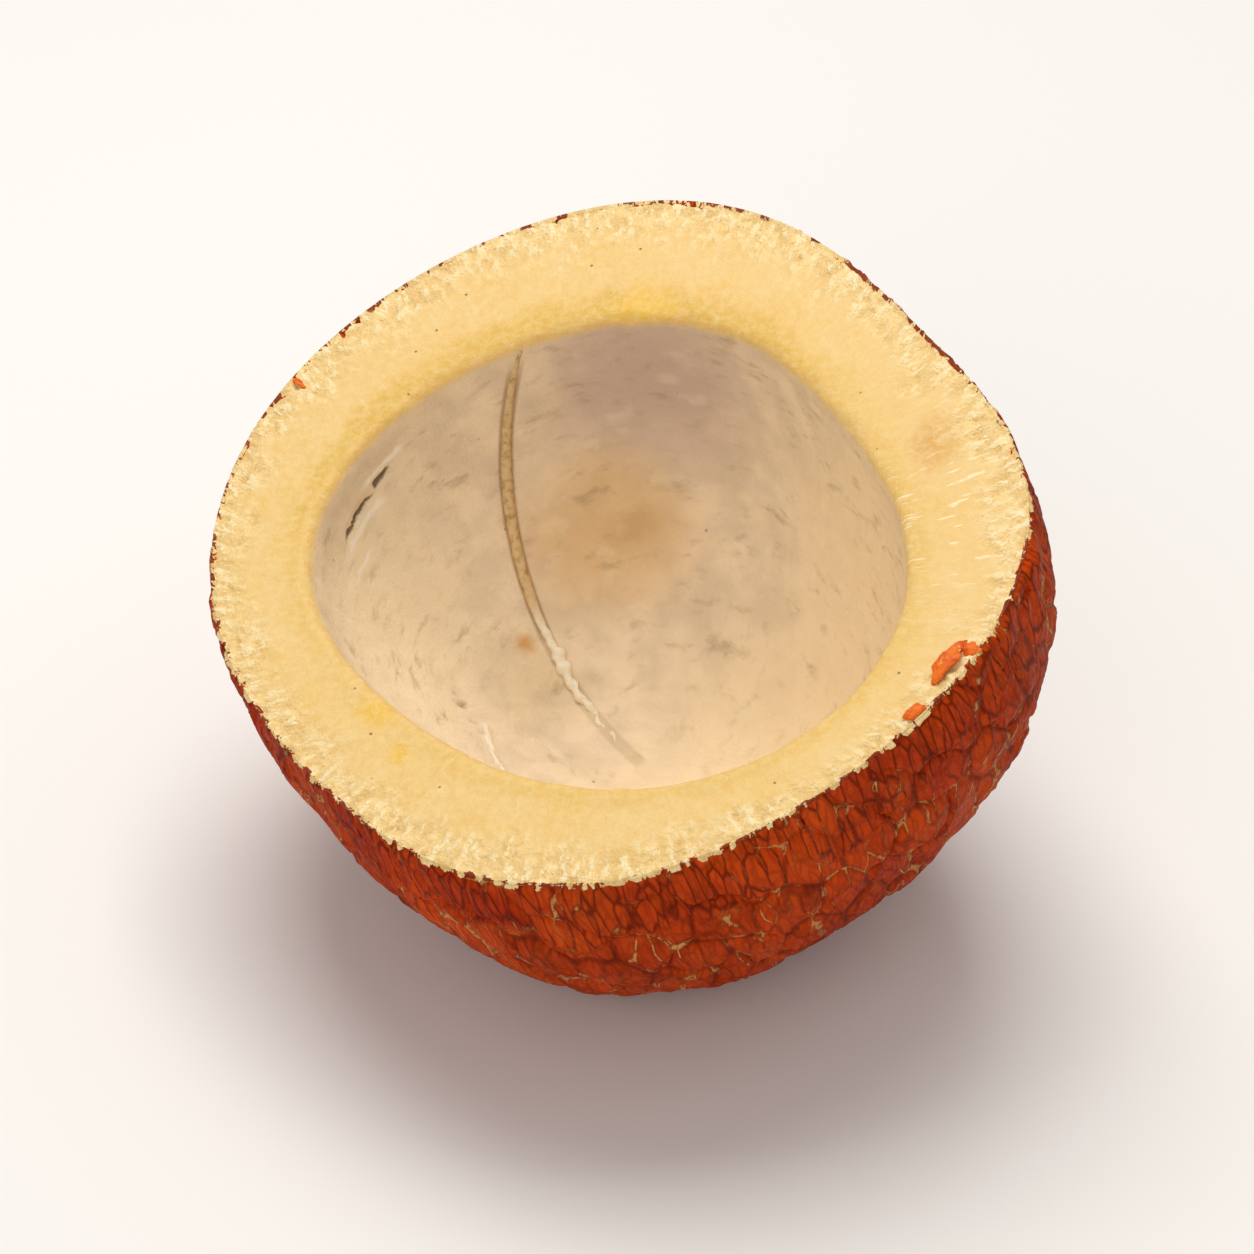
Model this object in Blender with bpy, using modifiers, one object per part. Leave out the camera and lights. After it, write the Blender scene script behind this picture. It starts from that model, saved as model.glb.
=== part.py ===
"""Half of a dried coconut: thick meat round an open hollow, under a brown skin of wrinkled plates.

Metres, +Z up. The nut is shaped round its own axis, with its cut face in the plane z = 0, and is
then leaned over and set down on a small flat spot. The origin is the middle of that flat spot.
"""

import math
import random

import bmesh
import bpy
from mathutils import Matrix, Vector

# The nut, measured from its cut face
CUT_RADIUS = 0.0460  # mean radius of the cut face's outer edge
NUT_DEPTH = 0.0525  # from the cut face to the underside, along the nut's axis
CUT_ABOVE_WIDEST = 0.0070  # how far the cut lies above the nut's widest ring

# The hollow in the meat
HOLLOW_RADIUS = 0.0325  # mean radius just under its rounded rim
HOLLOW_DEPTH = 0.0395
HOLLOW_SHIFT = Vector((0.0005, -0.0032, 0.0))  # off the nut's axis, so the meat is thicker behind
RIM_ROUNDING = 0.0018  # radius of the soft edge between the cut face and the hollow

# Neither outline is round: (waves round it, height of a wave, azimuth of a crest in degrees)
NUT_WAVES = ((2, 0.0028, 124.0), (3, 0.0004, -16.0), (4, 0.0012, -9.0), (5, 0.0003, -10.0))
HOLLOW_WAVES = ((2, 0.0032, 137.0), (3, 0.0009, -52.0), (4, 0.0005, -18.0))

# The wrinkled plates of the skin
PLATE_COUNT = 860  # on the whole nut, before it is cut in half
PLATE_SCATTER = 0.30  # how far a plate's centre strays, as a share of the plates' spacing
PLATE_STRETCH = 1.70  # how much longer than wide the plates are at the widest ring
PLATE_SHARE = 0.74  # how much of its cell a plate's raised top fills
SHORTEST_SIDE = 0.0010  # a cell's side below this is closed up
GROOVE_DEPTH = 0.0007
PLATE_CROWN = 0.0005
GOLDEN_ANGLE = math.pi * (3.0 - math.sqrt(5.0))
SEED = 11

# The vein, a raised strand that lies where a slanting plane meets the hollow's wall
VEIN_NORMAL = Vector((-0.589, -0.658, 0.469))
VEIN_OFFSET = -0.0121
VEIN_RADIUS = 0.0009
VEIN_ROOTING = 0.0013  # how deep its two ends sink into the meat
VEIN_POINTS = 15
VEIN_START_DEPTH = 0.03  # both ends, as a share of the hollow's depth
VEIN_END_DEPTH = 0.975

# How the half lies
LEAN = math.radians(22.0)
LEAN_TOWARDS = math.radians(232.0)  # the azimuth that the cut face looks to
REST_FLAT_DEPTH = 0.0017  # how much the flat spot takes off the underside

HOLLOW_SEGMENTS = 56
HOLLOW_RINGS = 14
ROUNDING_STEPS = 3
CUTTER_OVERSHOOT = 0.006
WELD_DISTANCE = 0.00001
SHARP_EDGE = math.radians(50.0)  # an edge that turns more than this isn't shaded smooth

UNDER_SEMI_AXIS = NUT_DEPTH - CUT_ABOVE_WIDEST
WIDEST_RADIUS = CUT_RADIUS / math.sqrt(1.0 - (CUT_ABOVE_WIDEST / UNDER_SEMI_AXIS) ** 2)
NUT_CENTRE = Vector((0.0, 0.0, -CUT_ABOVE_WIDEST))

SKIN_COLOUR = (0.30, 0.065, 0.014, 1.0)
MEAT_COLOUR = (0.82, 0.66, 0.38, 1.0)


def clear_scene():
    """Removes every object of the scene."""
    for obj in list(bpy.data.objects):
        bpy.data.objects.remove(obj, do_unlink=True)


def new_collection(name):
    """Makes a collection in the scene."""
    collection = bpy.data.collections.new(name)
    bpy.context.scene.collection.children.link(collection)
    return collection


def new_material(name, colour, roughness):
    """Makes a plain Principled material."""
    material = bpy.data.materials.new(name)
    material.use_nodes = True
    shader = material.node_tree.nodes["Principled BSDF"]
    shader.inputs["Base Color"].default_value = colour
    shader.inputs["Roughness"].default_value = roughness
    material.diffuse_color = colour
    return material


def object_from(bm, name, collection):
    """Writes a bmesh to a new mesh object and frees it."""
    mesh = bpy.data.meshes.new(name)
    bm.to_mesh(mesh)
    bm.free()
    obj = bpy.data.objects.new(name, mesh)
    collection.objects.link(obj)
    return obj


def hide_helper(obj):
    """Keeps a cutter or guide out of the model."""
    obj.hide_render = True
    obj.display_type = "WIRE"


def evaluated_mesh(obj):
    """Returns a new mesh of the object with its modifiers applied."""
    bpy.context.view_layer.update()
    graph = bpy.context.evaluated_depsgraph_get()
    return bpy.data.meshes.new_from_object(obj.evaluated_get(graph))


def wavy(radius, waves, azimuth):
    """Returns the radius of an outline with waves at an azimuth."""
    return radius + sum(
        height * math.cos(count * (azimuth - math.radians(crest))) for count, height, crest in waves
    )


def nut_surface(direction):
    """Returns the point of the smooth nut in a direction from its middle, and the normal there."""
    azimuth = math.atan2(direction.y, direction.x)
    across = WIDEST_RADIUS * wavy(CUT_RADIUS, NUT_WAVES, azimuth) / CUT_RADIUS
    point = Vector((direction.x * across, direction.y * across, direction.z * UNDER_SEMI_AXIS))
    normal = Vector((direction.x / across, direction.y / across, direction.z / UNDER_SEMI_AXIS))
    return NUT_CENTRE + point, normal.normalized()


def scattered_centres():
    """Spreads the plates' middles evenly over a unit sphere, each a little out of place."""
    chance = random.Random(SEED)
    spacing = math.sqrt(4.0 * math.pi / PLATE_COUNT)
    centres = []
    for index in range(PLATE_COUNT):
        height = 1.0 - (2 * index + 1) / PLATE_COUNT
        ring = math.sqrt(1.0 - height * height)
        angle = index * GOLDEN_ANGLE
        even = Vector((ring * math.cos(angle), ring * math.sin(angle), height))
        stray = Vector([chance.uniform(-1.0, 1.0) for _ in range(3)]) * spacing * PLATE_SCATTER
        centres.append((even + stray).normalized())
    return centres


def dual_mesh_modifier(obj):
    """Adds a modifier that turns each vertex into a cell and each triangle into a corner."""
    tree = bpy.data.node_groups.new("cells_round_vertices", "GeometryNodeTree")
    tree.interface.new_socket("Geometry", in_out="INPUT", socket_type="NodeSocketGeometry")
    tree.interface.new_socket("Geometry", in_out="OUTPUT", socket_type="NodeSocketGeometry")
    start = tree.nodes.new("NodeGroupInput")
    dual = tree.nodes.new("GeometryNodeDualMesh")
    end = tree.nodes.new("NodeGroupOutput")
    tree.links.new(start.outputs[0], dual.inputs["Mesh"])
    tree.links.new(dual.outputs[0], end.inputs[0])
    obj.modifiers.new("cells", "NODES").node_group = tree


def plate_cells(guides):
    """Returns a mesh of the plates' outlines on a unit sphere: one cell round each centre."""
    bm = bmesh.new()
    for centre in scattered_centres():
        bm.verts.new(centre)
    bmesh.ops.convex_hull(bm, input=bm.verts)
    hull = object_from(bm, "plate_centres", guides)
    dual_mesh_modifier(hull)
    cells = evaluated_mesh(hull)
    bpy.data.objects.remove(hull, do_unlink=True)
    return cells


def raise_plates(bm):
    """Splits each cell into a groove and a domed plate.

    Returns how far each vertex stands out from the smooth nut, by vertex.
    """
    rises = {vert: -GROOVE_DEPTH for vert in bm.verts}
    tops = bmesh.ops.extrude_discrete_faces(bm, faces=list(bm.faces))["faces"]
    for top in tops:
        middle = top.calc_center_median()
        for vert in top.verts:
            vert.co = middle.lerp(vert.co, PLATE_SHARE)
            rises[vert] = 0.0
    for crown in bmesh.ops.poke(bm, faces=tops)["verts"]:
        rises[crown] = PLATE_CROWN
    return rises


def wrinkled_nut(cells):
    """Returns a closed bmesh of the whole nut, with its grooves and plates."""
    bm = bmesh.new()
    bm.from_mesh(cells)
    for vert in bm.verts:
        vert.co = Vector((vert.co.x, vert.co.y, vert.co.z * PLATE_STRETCH)).normalized()
    short = [edge for edge in bm.edges if edge.calc_length() < SHORTEST_SIDE / WIDEST_RADIUS]
    bmesh.ops.collapse(bm, edges=short)
    for vert, rise in raise_plates(bm).items():
        point, normal = nut_surface(vert.co.normalized())
        vert.co = point + normal * rise
    bmesh.ops.recalc_face_normals(bm, faces=bm.faces)
    return bm


def slice_off(bm, point, outward):
    """Cuts the bmesh with a plane, drops what lies beyond it and closes the cut flat."""
    geometry = bm.verts[:] + bm.edges[:] + bm.faces[:]
    cut = bmesh.ops.bisect_plane(
        bm, geom=geometry, dist=1e-7, plane_co=point, plane_no=outward, clear_outer=True
    )
    edges = [item for item in cut["geom_cut"] if isinstance(item, bmesh.types.BMEdge)]
    return bmesh.ops.contextual_create(bm, geom=edges)["faces"]


def lean_matrix():
    """Returns the turn that leans the nut's axis over."""
    axle = Vector((-math.sin(LEAN_TOWARDS), math.cos(LEAN_TOWARDS), 0.0))
    return Matrix.Rotation(LEAN, 4, axle)


def lowest_point(down):
    """Returns the point of the smooth nut that lies lowest in a direction, in the nut's frame."""
    pull = Vector((down.x * WIDEST_RADIUS, down.y * WIDEST_RADIUS, down.z * UNDER_SEMI_AXIS))
    return nut_surface(pull.normalized())[0]


def rest_spot(down):
    """Returns the middle of the flat spot, in the nut's frame."""
    return lowest_point(down) - down * REST_FLAT_DEPTH


def hollow_profile():
    """Returns the hollow's outline from past the cut down to its bottom, as (radius, height)."""
    profile = [(0.0, CUTTER_OVERSHOOT), (HOLLOW_RADIUS + RIM_ROUNDING, CUTTER_OVERSHOOT)]
    for step in range(ROUNDING_STEPS + 1):
        angle = math.pi / 2.0 * step / ROUNDING_STEPS
        flare = RIM_ROUNDING * (1.0 - math.sin(angle))
        profile.append((HOLLOW_RADIUS + flare, RIM_ROUNDING * (math.cos(angle) - 1.0)))
    for ring in range(1, HOLLOW_RINGS + 1):
        angle = math.pi / 2.0 * ring / HOLLOW_RINGS
        profile.append((HOLLOW_RADIUS * math.cos(angle), -HOLLOW_DEPTH * math.sin(angle)))
    return profile


def turned_mesh(profile, collection):
    """Turns a profile round the Z axis with a Screw modifier and returns the mesh."""
    bm = bmesh.new()
    points = [bm.verts.new((radius, 0.0, height)) for radius, height in profile]
    for start, end in zip(points, points[1:]):
        bm.edges.new((start, end))
    guide = object_from(bm, "turned_profile", collection)
    screw = guide.modifiers.new("turn", "SCREW")
    screw.steps = HOLLOW_SEGMENTS
    screw.render_steps = HOLLOW_SEGMENTS
    screw.use_merge_vertices = True
    screw.merge_threshold = WELD_DISTANCE
    mesh = evaluated_mesh(guide)
    bpy.data.objects.remove(guide, do_unlink=True)
    return mesh


def hollow_cutter(collection):
    """Makes the solid that carves the hollow: a turned profile, pushed out to its wavy outline."""
    bm = bmesh.new()
    bm.from_mesh(turned_mesh(hollow_profile(), collection))
    bmesh.ops.remove_doubles(bm, verts=bm.verts, dist=WELD_DISTANCE)
    for vert in bm.verts:
        azimuth = math.atan2(vert.co.y, vert.co.x)
        share = wavy(HOLLOW_RADIUS, HOLLOW_WAVES, azimuth) / HOLLOW_RADIUS
        vert.co = Vector((vert.co.x * share, vert.co.y * share, vert.co.z)) + HOLLOW_SHIFT
    bmesh.ops.recalc_face_normals(bm, faces=bm.faces)
    cutter = object_from(bm, "hollow_cutter", collection)
    hide_helper(cutter)
    return cutter


def vein_point(depth_share, sunk):
    """Returns where the vein's plane meets the hollow's wall at a depth, sunk into the meat."""
    height = -HOLLOW_DEPTH * depth_share
    ring = math.sqrt(1.0 - depth_share * depth_share)
    best = None
    for step in range(1801):
        azimuth = math.radians(90.0 + step * 0.05)
        radius = wavy(HOLLOW_RADIUS, HOLLOW_WAVES, azimuth) * ring
        point = Vector((radius * math.cos(azimuth), radius * math.sin(azimuth), height))
        point += HOLLOW_SHIFT
        miss = abs(point.dot(VEIN_NORMAL) - VEIN_OFFSET)
        if best is None or miss < best[0]:
            best = (miss, point, azimuth)
    _, point, azimuth = best
    slope = Vector((-ring * math.cos(azimuth), -ring * math.sin(azimuth), depth_share))
    return point - slope.normalized() * sunk


def vein_strand(collection):
    """Makes the vein as a tube along the hollow's wall, with its ends sunk in the meat."""
    curve = bpy.data.curves.new("vein_line", "CURVE")
    curve.dimensions = "3D"
    curve.bevel_depth = VEIN_RADIUS
    curve.bevel_resolution = 2
    curve.use_fill_caps = True
    line = curve.splines.new("POLY")
    line.points.add(VEIN_POINTS - 1)
    first = math.acos(VEIN_START_DEPTH)
    last = math.acos(VEIN_END_DEPTH)
    for index, point in enumerate(line.points):
        along = index / (VEIN_POINTS - 1)
        depth_share = math.cos(first + (last - first) * along)
        sunk = VEIN_ROOTING * (1.0 - math.sin(math.pi * along)) ** 2
        point.co = (*vein_point(depth_share, sunk), 1.0)
    guide = bpy.data.objects.new("vein_line", curve)
    collection.objects.link(guide)
    mesh = evaluated_mesh(guide)
    bpy.data.objects.remove(guide, do_unlink=True)
    bm = bmesh.new()
    bm.from_mesh(mesh)
    bmesh.ops.remove_doubles(bm, verts=bm.verts, dist=WELD_DISTANCE)
    bmesh.ops.recalc_face_normals(bm, faces=bm.faces)
    strand = object_from(bm, "vein_strand", collection)
    hide_helper(strand)
    return strand


def add_boolean(obj, other, operation):
    """Joins or cuts the object with another."""
    modifier = obj.modifiers.new(f"{operation.lower()}_{other.name}", "BOOLEAN")
    modifier.operation = operation
    modifier.object = other
    modifier.solver = "EXACT"


def colour_faces(obj):
    """Gives the cut face and the hollow the meat's material, and leaves the rest skin."""
    obj.data.materials.append(new_material("brown_skin", SKIN_COLOUR, 0.5))
    obj.data.materials.append(new_material("white_meat", MEAT_COLOUR, 0.6))
    for face in obj.data.polygons:
        face.material_index = 1 if face.center.z > -1e-6 else 0


def coconut_half(model, helpers):
    """Builds the half: plated outside, flat cut face, hollow and vein, leaned over at rest."""
    turn = lean_matrix()
    down = turn.to_3x3().transposed() @ Vector((0.0, 0.0, -1.0))
    spot = rest_spot(down)
    bm = wrinkled_nut(plate_cells(helpers))
    slice_off(bm, Vector((0.0, 0.0, 0.0)), Vector((0.0, 0.0, 1.0)))
    slice_off(bm, spot, down)
    half = object_from(bm, "coconut_half", model)
    half.data.shade_smooth()
    half.data.set_sharp_from_angle(angle=SHARP_EDGE)
    colour_faces(half)
    cutter = hollow_cutter(helpers)
    strand = vein_strand(helpers)
    meat = half.data.materials[1]
    cutter.data.materials.append(meat)
    strand.data.materials.append(meat)
    add_boolean(half, cutter, "DIFFERENCE")
    add_boolean(half, strand, "UNION")
    stand = bpy.data.objects.new("rest_spot", None)
    model.objects.link(stand)
    stand.matrix_world = turn
    for piece in (half, cutter, strand):
        piece.parent = stand
        piece.location = -spot
    return half


def main():
    """Builds the model from an empty scene."""
    clear_scene()
    model = new_collection("dried_coconut_half")
    helpers = new_collection("cutters")
    coconut_half(model, helpers)


if __name__ == "__main__":
    main()
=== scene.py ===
"""The looks of a dried coconut half: wrinkled brown skin, cream meat, a vein and loose rim flakes.

Metres, +Z up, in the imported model's frame. The nut is shaped in a frame of its own, with its cut
face in the plane z = 0, and is then leaned over onto its flat spot, as its solid is.
"""

from __future__ import annotations

import logging
import math
import random
from collections.abc import Callable
from dataclasses import dataclass
from enum import Enum

import bmesh
import bpy
import numpy as np
from mathutils import Matrix, Vector


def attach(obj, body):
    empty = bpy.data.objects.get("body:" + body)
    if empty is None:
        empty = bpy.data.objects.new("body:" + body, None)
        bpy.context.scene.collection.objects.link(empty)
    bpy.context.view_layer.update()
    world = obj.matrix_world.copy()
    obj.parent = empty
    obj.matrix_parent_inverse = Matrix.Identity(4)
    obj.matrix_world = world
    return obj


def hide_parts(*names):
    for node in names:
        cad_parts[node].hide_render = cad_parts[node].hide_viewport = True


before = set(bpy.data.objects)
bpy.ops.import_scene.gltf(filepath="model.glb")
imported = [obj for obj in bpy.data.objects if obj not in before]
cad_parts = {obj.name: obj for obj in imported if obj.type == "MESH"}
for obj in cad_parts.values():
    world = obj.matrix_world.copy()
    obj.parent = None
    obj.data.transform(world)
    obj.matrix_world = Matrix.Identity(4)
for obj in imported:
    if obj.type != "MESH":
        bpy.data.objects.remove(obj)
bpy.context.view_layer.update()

Array = np.ndarray
Socket = bpy.types.NodeSocket
Triple = tuple[float, float, float]

MM = 0.001
WELD = 0.000001
NODE = "coconut_half"
TORN_PALE = (246.0, 216.0, 154.0)
TORN_CLEAR = (224.0, 188.0, 122.0)
VEIN_NORMAL = (-0.589, -0.658, 0.469)
VEIN_OFFSET = -0.0121
LOG = logging.getLogger("coconut_half")


# The nut's form.


@dataclass(frozen=True)
class Wave:
    """One wave round an outline.

    Attributes:
        count: How many crests it has.
        height: How far a crest stands out, in metres.
        crest: The azimuth of one crest, in degrees.
    """

    count: int
    height: float
    crest: float


@dataclass(frozen=True)
class Outline:
    """A round outline that a few waves put out of true.

    Attributes:
        radius: Its mean radius, in metres.
        waves: The waves round it.
    """

    radius: float
    waves: tuple[Wave, ...]

    def reach(self, azimuth: Array) -> Array:
        """Works out how far the outline lies from its middle.

        Args:
            azimuth: Directions from the middle, in radians.

        Returns:
            The radius in each direction, in metres.
        """
        turns = [wave.count * (azimuth - math.radians(wave.crest)) for wave in self.waves]
        return self.radius + sum(wave.height * np.cos(turn) for wave, turn in zip(self.waves, turns))


@dataclass(frozen=True)
class NutForm:
    """The smooth form of the half, in the nut's own frame. All sizes are in metres.

    Attributes:
        depth: How far the underside lies below the cut.
        cut_above_widest: How far the cut lies above the widest ring.
        edge: The cut's outer edge.
        hollow: The hollow's rim.
        hollow_depth: How deep the hollow is.
        hollow_shift: Where the hollow's middle lies, seen from the nut's axis.
        rim_rounding: The radius of the hollow's soft rim.
    """

    depth: float = 0.0525
    cut_above_widest: float = 0.0070
    edge: Outline = Outline(
        0.0460,
        (Wave(2, 0.0028, 124.0), Wave(3, 0.0004, -16.0), Wave(4, 0.0012, -9.0), Wave(5, 0.0003, -10.0)),
    )
    hollow: Outline = Outline(
        0.0325, (Wave(2, 0.0032, 137.0), Wave(3, 0.0009, -52.0), Wave(4, 0.0005, -18.0))
    )
    hollow_depth: float = 0.0395
    hollow_shift: Triple = (0.0005, -0.0032, 0.0)
    rim_rounding: float = 0.0018

    @property
    def under_axis(self) -> float:
        """Returns how far the underside lies below the widest ring."""
        return self.depth - self.cut_above_widest

    @property
    def cut_height(self) -> float:
        """Returns the height of the cut on the unit sphere that the nut is stretched from."""
        return self.cut_above_widest / self.under_axis

    @property
    def widest_radius(self) -> float:
        """Returns the mean radius of the widest ring."""
        return self.edge.radius / math.sqrt(1.0 - self.cut_height**2)

    def surface(self, directions: Array) -> tuple[Array, Array]:
        """Finds the smooth outside of the nut.

        Args:
            directions: Unit vectors from the nut's middle, one a row.

        Returns:
            The points of the surface and its outward normals, one a row.
        """
        azimuth = np.arctan2(directions[:, 1], directions[:, 0])
        across = self.widest_radius * self.edge.reach(azimuth) / self.edge.radius
        axes = np.column_stack((across, across, np.full_like(across, self.under_axis)))
        points = directions * axes
        points[:, 2] -= self.cut_above_widest
        return points, unit_rows(directions / axes)

    def hollow_wall(self, azimuth: Array, steepness: Array) -> Array:
        """Finds points of the hollow's smooth wall.

        Args:
            azimuth: Directions round the hollow's middle, in radians.
            steepness: Angle below the cut face, from 0 at the rim to a right angle at the bottom.

        Returns:
            The points, one a row.
        """
        ring = self.hollow.reach(azimuth) * np.cos(steepness)
        height = -self.hollow_depth * np.sin(steepness)
        points = np.column_stack((ring * np.cos(azimuth), ring * np.sin(azimuth), height))
        return points + np.array(self.hollow_shift)


@dataclass(frozen=True)
class Resting:
    """How the nut leans, and the flat spot that it lies on.

    Attributes:
        form: The nut's form.
        lean: How far the cut face leans, in radians.
        towards: The azimuth that it leans towards, in radians.
        flat_depth: How far the underside is flattened, in metres.
    """

    form: NutForm
    lean: float = math.radians(22.0)
    towards: float = math.radians(232.0)
    flat_depth: float = 0.0017

    def turn(self) -> Matrix:
        """Returns the turn that leans the nut over."""
        axle = Vector((-math.sin(self.towards), math.cos(self.towards), 0.0))
        return Matrix.Rotation(self.lean, 3, axle)

    def spot(self) -> Vector:
        """Finds the middle of the flat spot.

        Returns:
            Its place in the nut's frame.
        """
        down = self.turn().transposed() @ Vector((0.0, 0.0, -1.0))
        wide = self.form.widest_radius
        pull = Vector((down.x * wide, down.y * wide, down.z * self.form.under_axis)).normalized()
        lowest, _ = self.form.surface(np.array([pull]))
        return Vector(lowest[0]) - down * self.flat_depth

    def place(self, points: Array) -> Array:
        """Moves points from the nut's frame to the model's.

        Args:
            points: Points in the nut's frame, one a row.

        Returns:
            The same points in the model's frame.
        """
        return (points - np.array(self.spot())) @ np.array(self.turn()).T

    def lay(self, obj: bpy.types.Object, lowest: Array | float = 0.0) -> None:
        """Moves a mesh from the nut's frame to the model's, and flattens it where it rests.

        Args:
            obj: The piece to move.
            lowest: How high above the ground it has to stay, in metres, one for all or one a vertex.
        """
        points = self.place(coordinates(obj.data))
        points[:, 2] = np.maximum(points[:, 2], lowest)
        set_coordinates(obj.data, points)


# Small tools for meshes.


def unit_rows(vectors: Array) -> Array:
    """Scales each row to length 1.

    Args:
        vectors: Vectors, one a row.

    Returns:
        The unit vectors.
    """
    return vectors / np.maximum(np.linalg.norm(vectors, axis=1, keepdims=True), 1e-12)


def smooth_step(values: Array, low: float, high: float) -> Array:
    """Rises softly from 0 to 1.

    Args:
        values: What to read.
        low: Where the rise begins.
        high: Where it ends.

    Returns:
        The share of the rise at each value.
    """
    share = np.clip((values - low) / (high - low), 0.0, 1.0)
    return share * share * (3.0 - 2.0 * share)


def coordinates(mesh: bpy.types.Mesh) -> Array:
    """Reads a mesh's vertices.

    Args:
        mesh: The mesh to read.

    Returns:
        Their places, one a row.
    """
    flat = np.empty(len(mesh.vertices) * 3, dtype=np.float32)
    mesh.vertices.foreach_get("co", flat)
    return flat.reshape(-1, 3).astype(np.float64)


def set_coordinates(mesh: bpy.types.Mesh, points: Array) -> None:
    """Moves a mesh's vertices.

    Args:
        mesh: The mesh to change.
        points: Their new places, one a row.
    """
    mesh.vertices.foreach_set("co", points.astype(np.float32).ravel())
    mesh.update()


def read_floats(mesh: bpy.types.Mesh, name: str) -> Array:
    """Reads a number stored on each vertex.

    Args:
        mesh: The mesh to read.
        name: The attribute's name.

    Returns:
        One number a vertex.
    """
    values = np.empty(len(mesh.vertices), dtype=np.float32)
    mesh.attributes[name].data.foreach_get("value", values)
    return values.astype(np.float64)


def store(mesh: bpy.types.Mesh, name: str, values: Array) -> None:
    """Stores numbers or vectors on a mesh's vertices.

    Args:
        mesh: The mesh to write to.
        name: The attribute's name.
        values: One number, or one row of three, a vertex.
    """
    if name in mesh.attributes:
        mesh.attributes.remove(mesh.attributes[name])
    kind, key = ("FLOAT_VECTOR", "vector") if values.ndim == 2 else ("FLOAT", "value")
    layer = mesh.attributes.new(name, kind, "POINT")
    layer.data.foreach_set(key, values.astype(np.float32).ravel())


def new_piece(bm: bmesh.types.BMesh, name: str) -> bpy.types.Object:
    """Writes a bmesh to a new object and frees it.

    Args:
        bm: The shape.
        name: The piece's name.

    Returns:
        The new object.
    """
    mesh = bpy.data.meshes.new(name)
    bm.to_mesh(mesh)
    bm.free()
    mesh.shade_smooth()
    piece = bpy.data.objects.new(name, mesh)
    bpy.context.scene.collection.objects.link(piece)
    return piece


def bake_modifiers(obj: bpy.types.Object) -> None:
    """Turns an object's live modifiers into plain mesh.

    Args:
        obj: The object to change.
    """
    bpy.context.view_layer.update()
    graph = bpy.context.evaluated_depsgraph_get()
    mesh = bpy.data.meshes.new_from_object(obj.evaluated_get(graph))
    mesh.name = obj.name
    obj.modifiers.clear()
    obj.data = mesh


def fine_triangles(bm: bmesh.types.BMesh, longest: float) -> None:
    """Splits every side that is too long until none is left.

    Args:
        bm: The shape to split.
        longest: The longest side to keep.
    """
    while True:
        bmesh.ops.triangulate(bm, faces=bm.faces[:])
        sides = [edge for edge in bm.edges if edge.calc_length() > longest]
        if not sides:
            return
        bmesh.ops.subdivide_edges(bm, edges=sides, cuts=1)


def ripple(points: Array, wavelength: float, seed: int, count: int = 7) -> Array:
    """Adds up a few seeded waves into a smooth, uneven field.

    Args:
        points: Places, one a row.
        wavelength: The mean length of a wave, in the same unit.
        seed: Which set of waves to use.
        count: How many waves to add.

    Returns:
        One number a place, mostly between -1 and 1.
    """
    chance = random.Random(seed)
    total = np.zeros(len(points))
    for _ in range(count):
        heading = Vector([chance.gauss(0.0, 1.0) for _ in range(3)]).normalized()
        pitch = 2.0 * math.pi / (wavelength * chance.uniform(0.7, 1.5))
        phase = chance.uniform(0.0, 2.0 * math.pi)
        total += np.sin(points @ np.array(heading) * pitch + phase)
    return total / math.sqrt(count)


# Small tools for node trees.


def linear(colour: Triple) -> tuple[float, float, float, float]:
    """Turns a screen colour into the light that it stands for.

    Args:
        colour: Red, green and blue, from 0 to 255.

    Returns:
        The linear colour with its alpha.
    """
    shares = [value / 255.0 for value in colour]
    light = [value / 12.92 if value <= 0.04045 else ((value + 0.055) / 1.055) ** 2.4 for value in shares]
    return (*light, 1.0)


class Kind(Enum):
    """What an attribute holds."""

    NUMBER = "FLOAT"
    VECTOR = "FLOAT_VECTOR"
    COLOUR = "FLOAT_COLOR"


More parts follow.
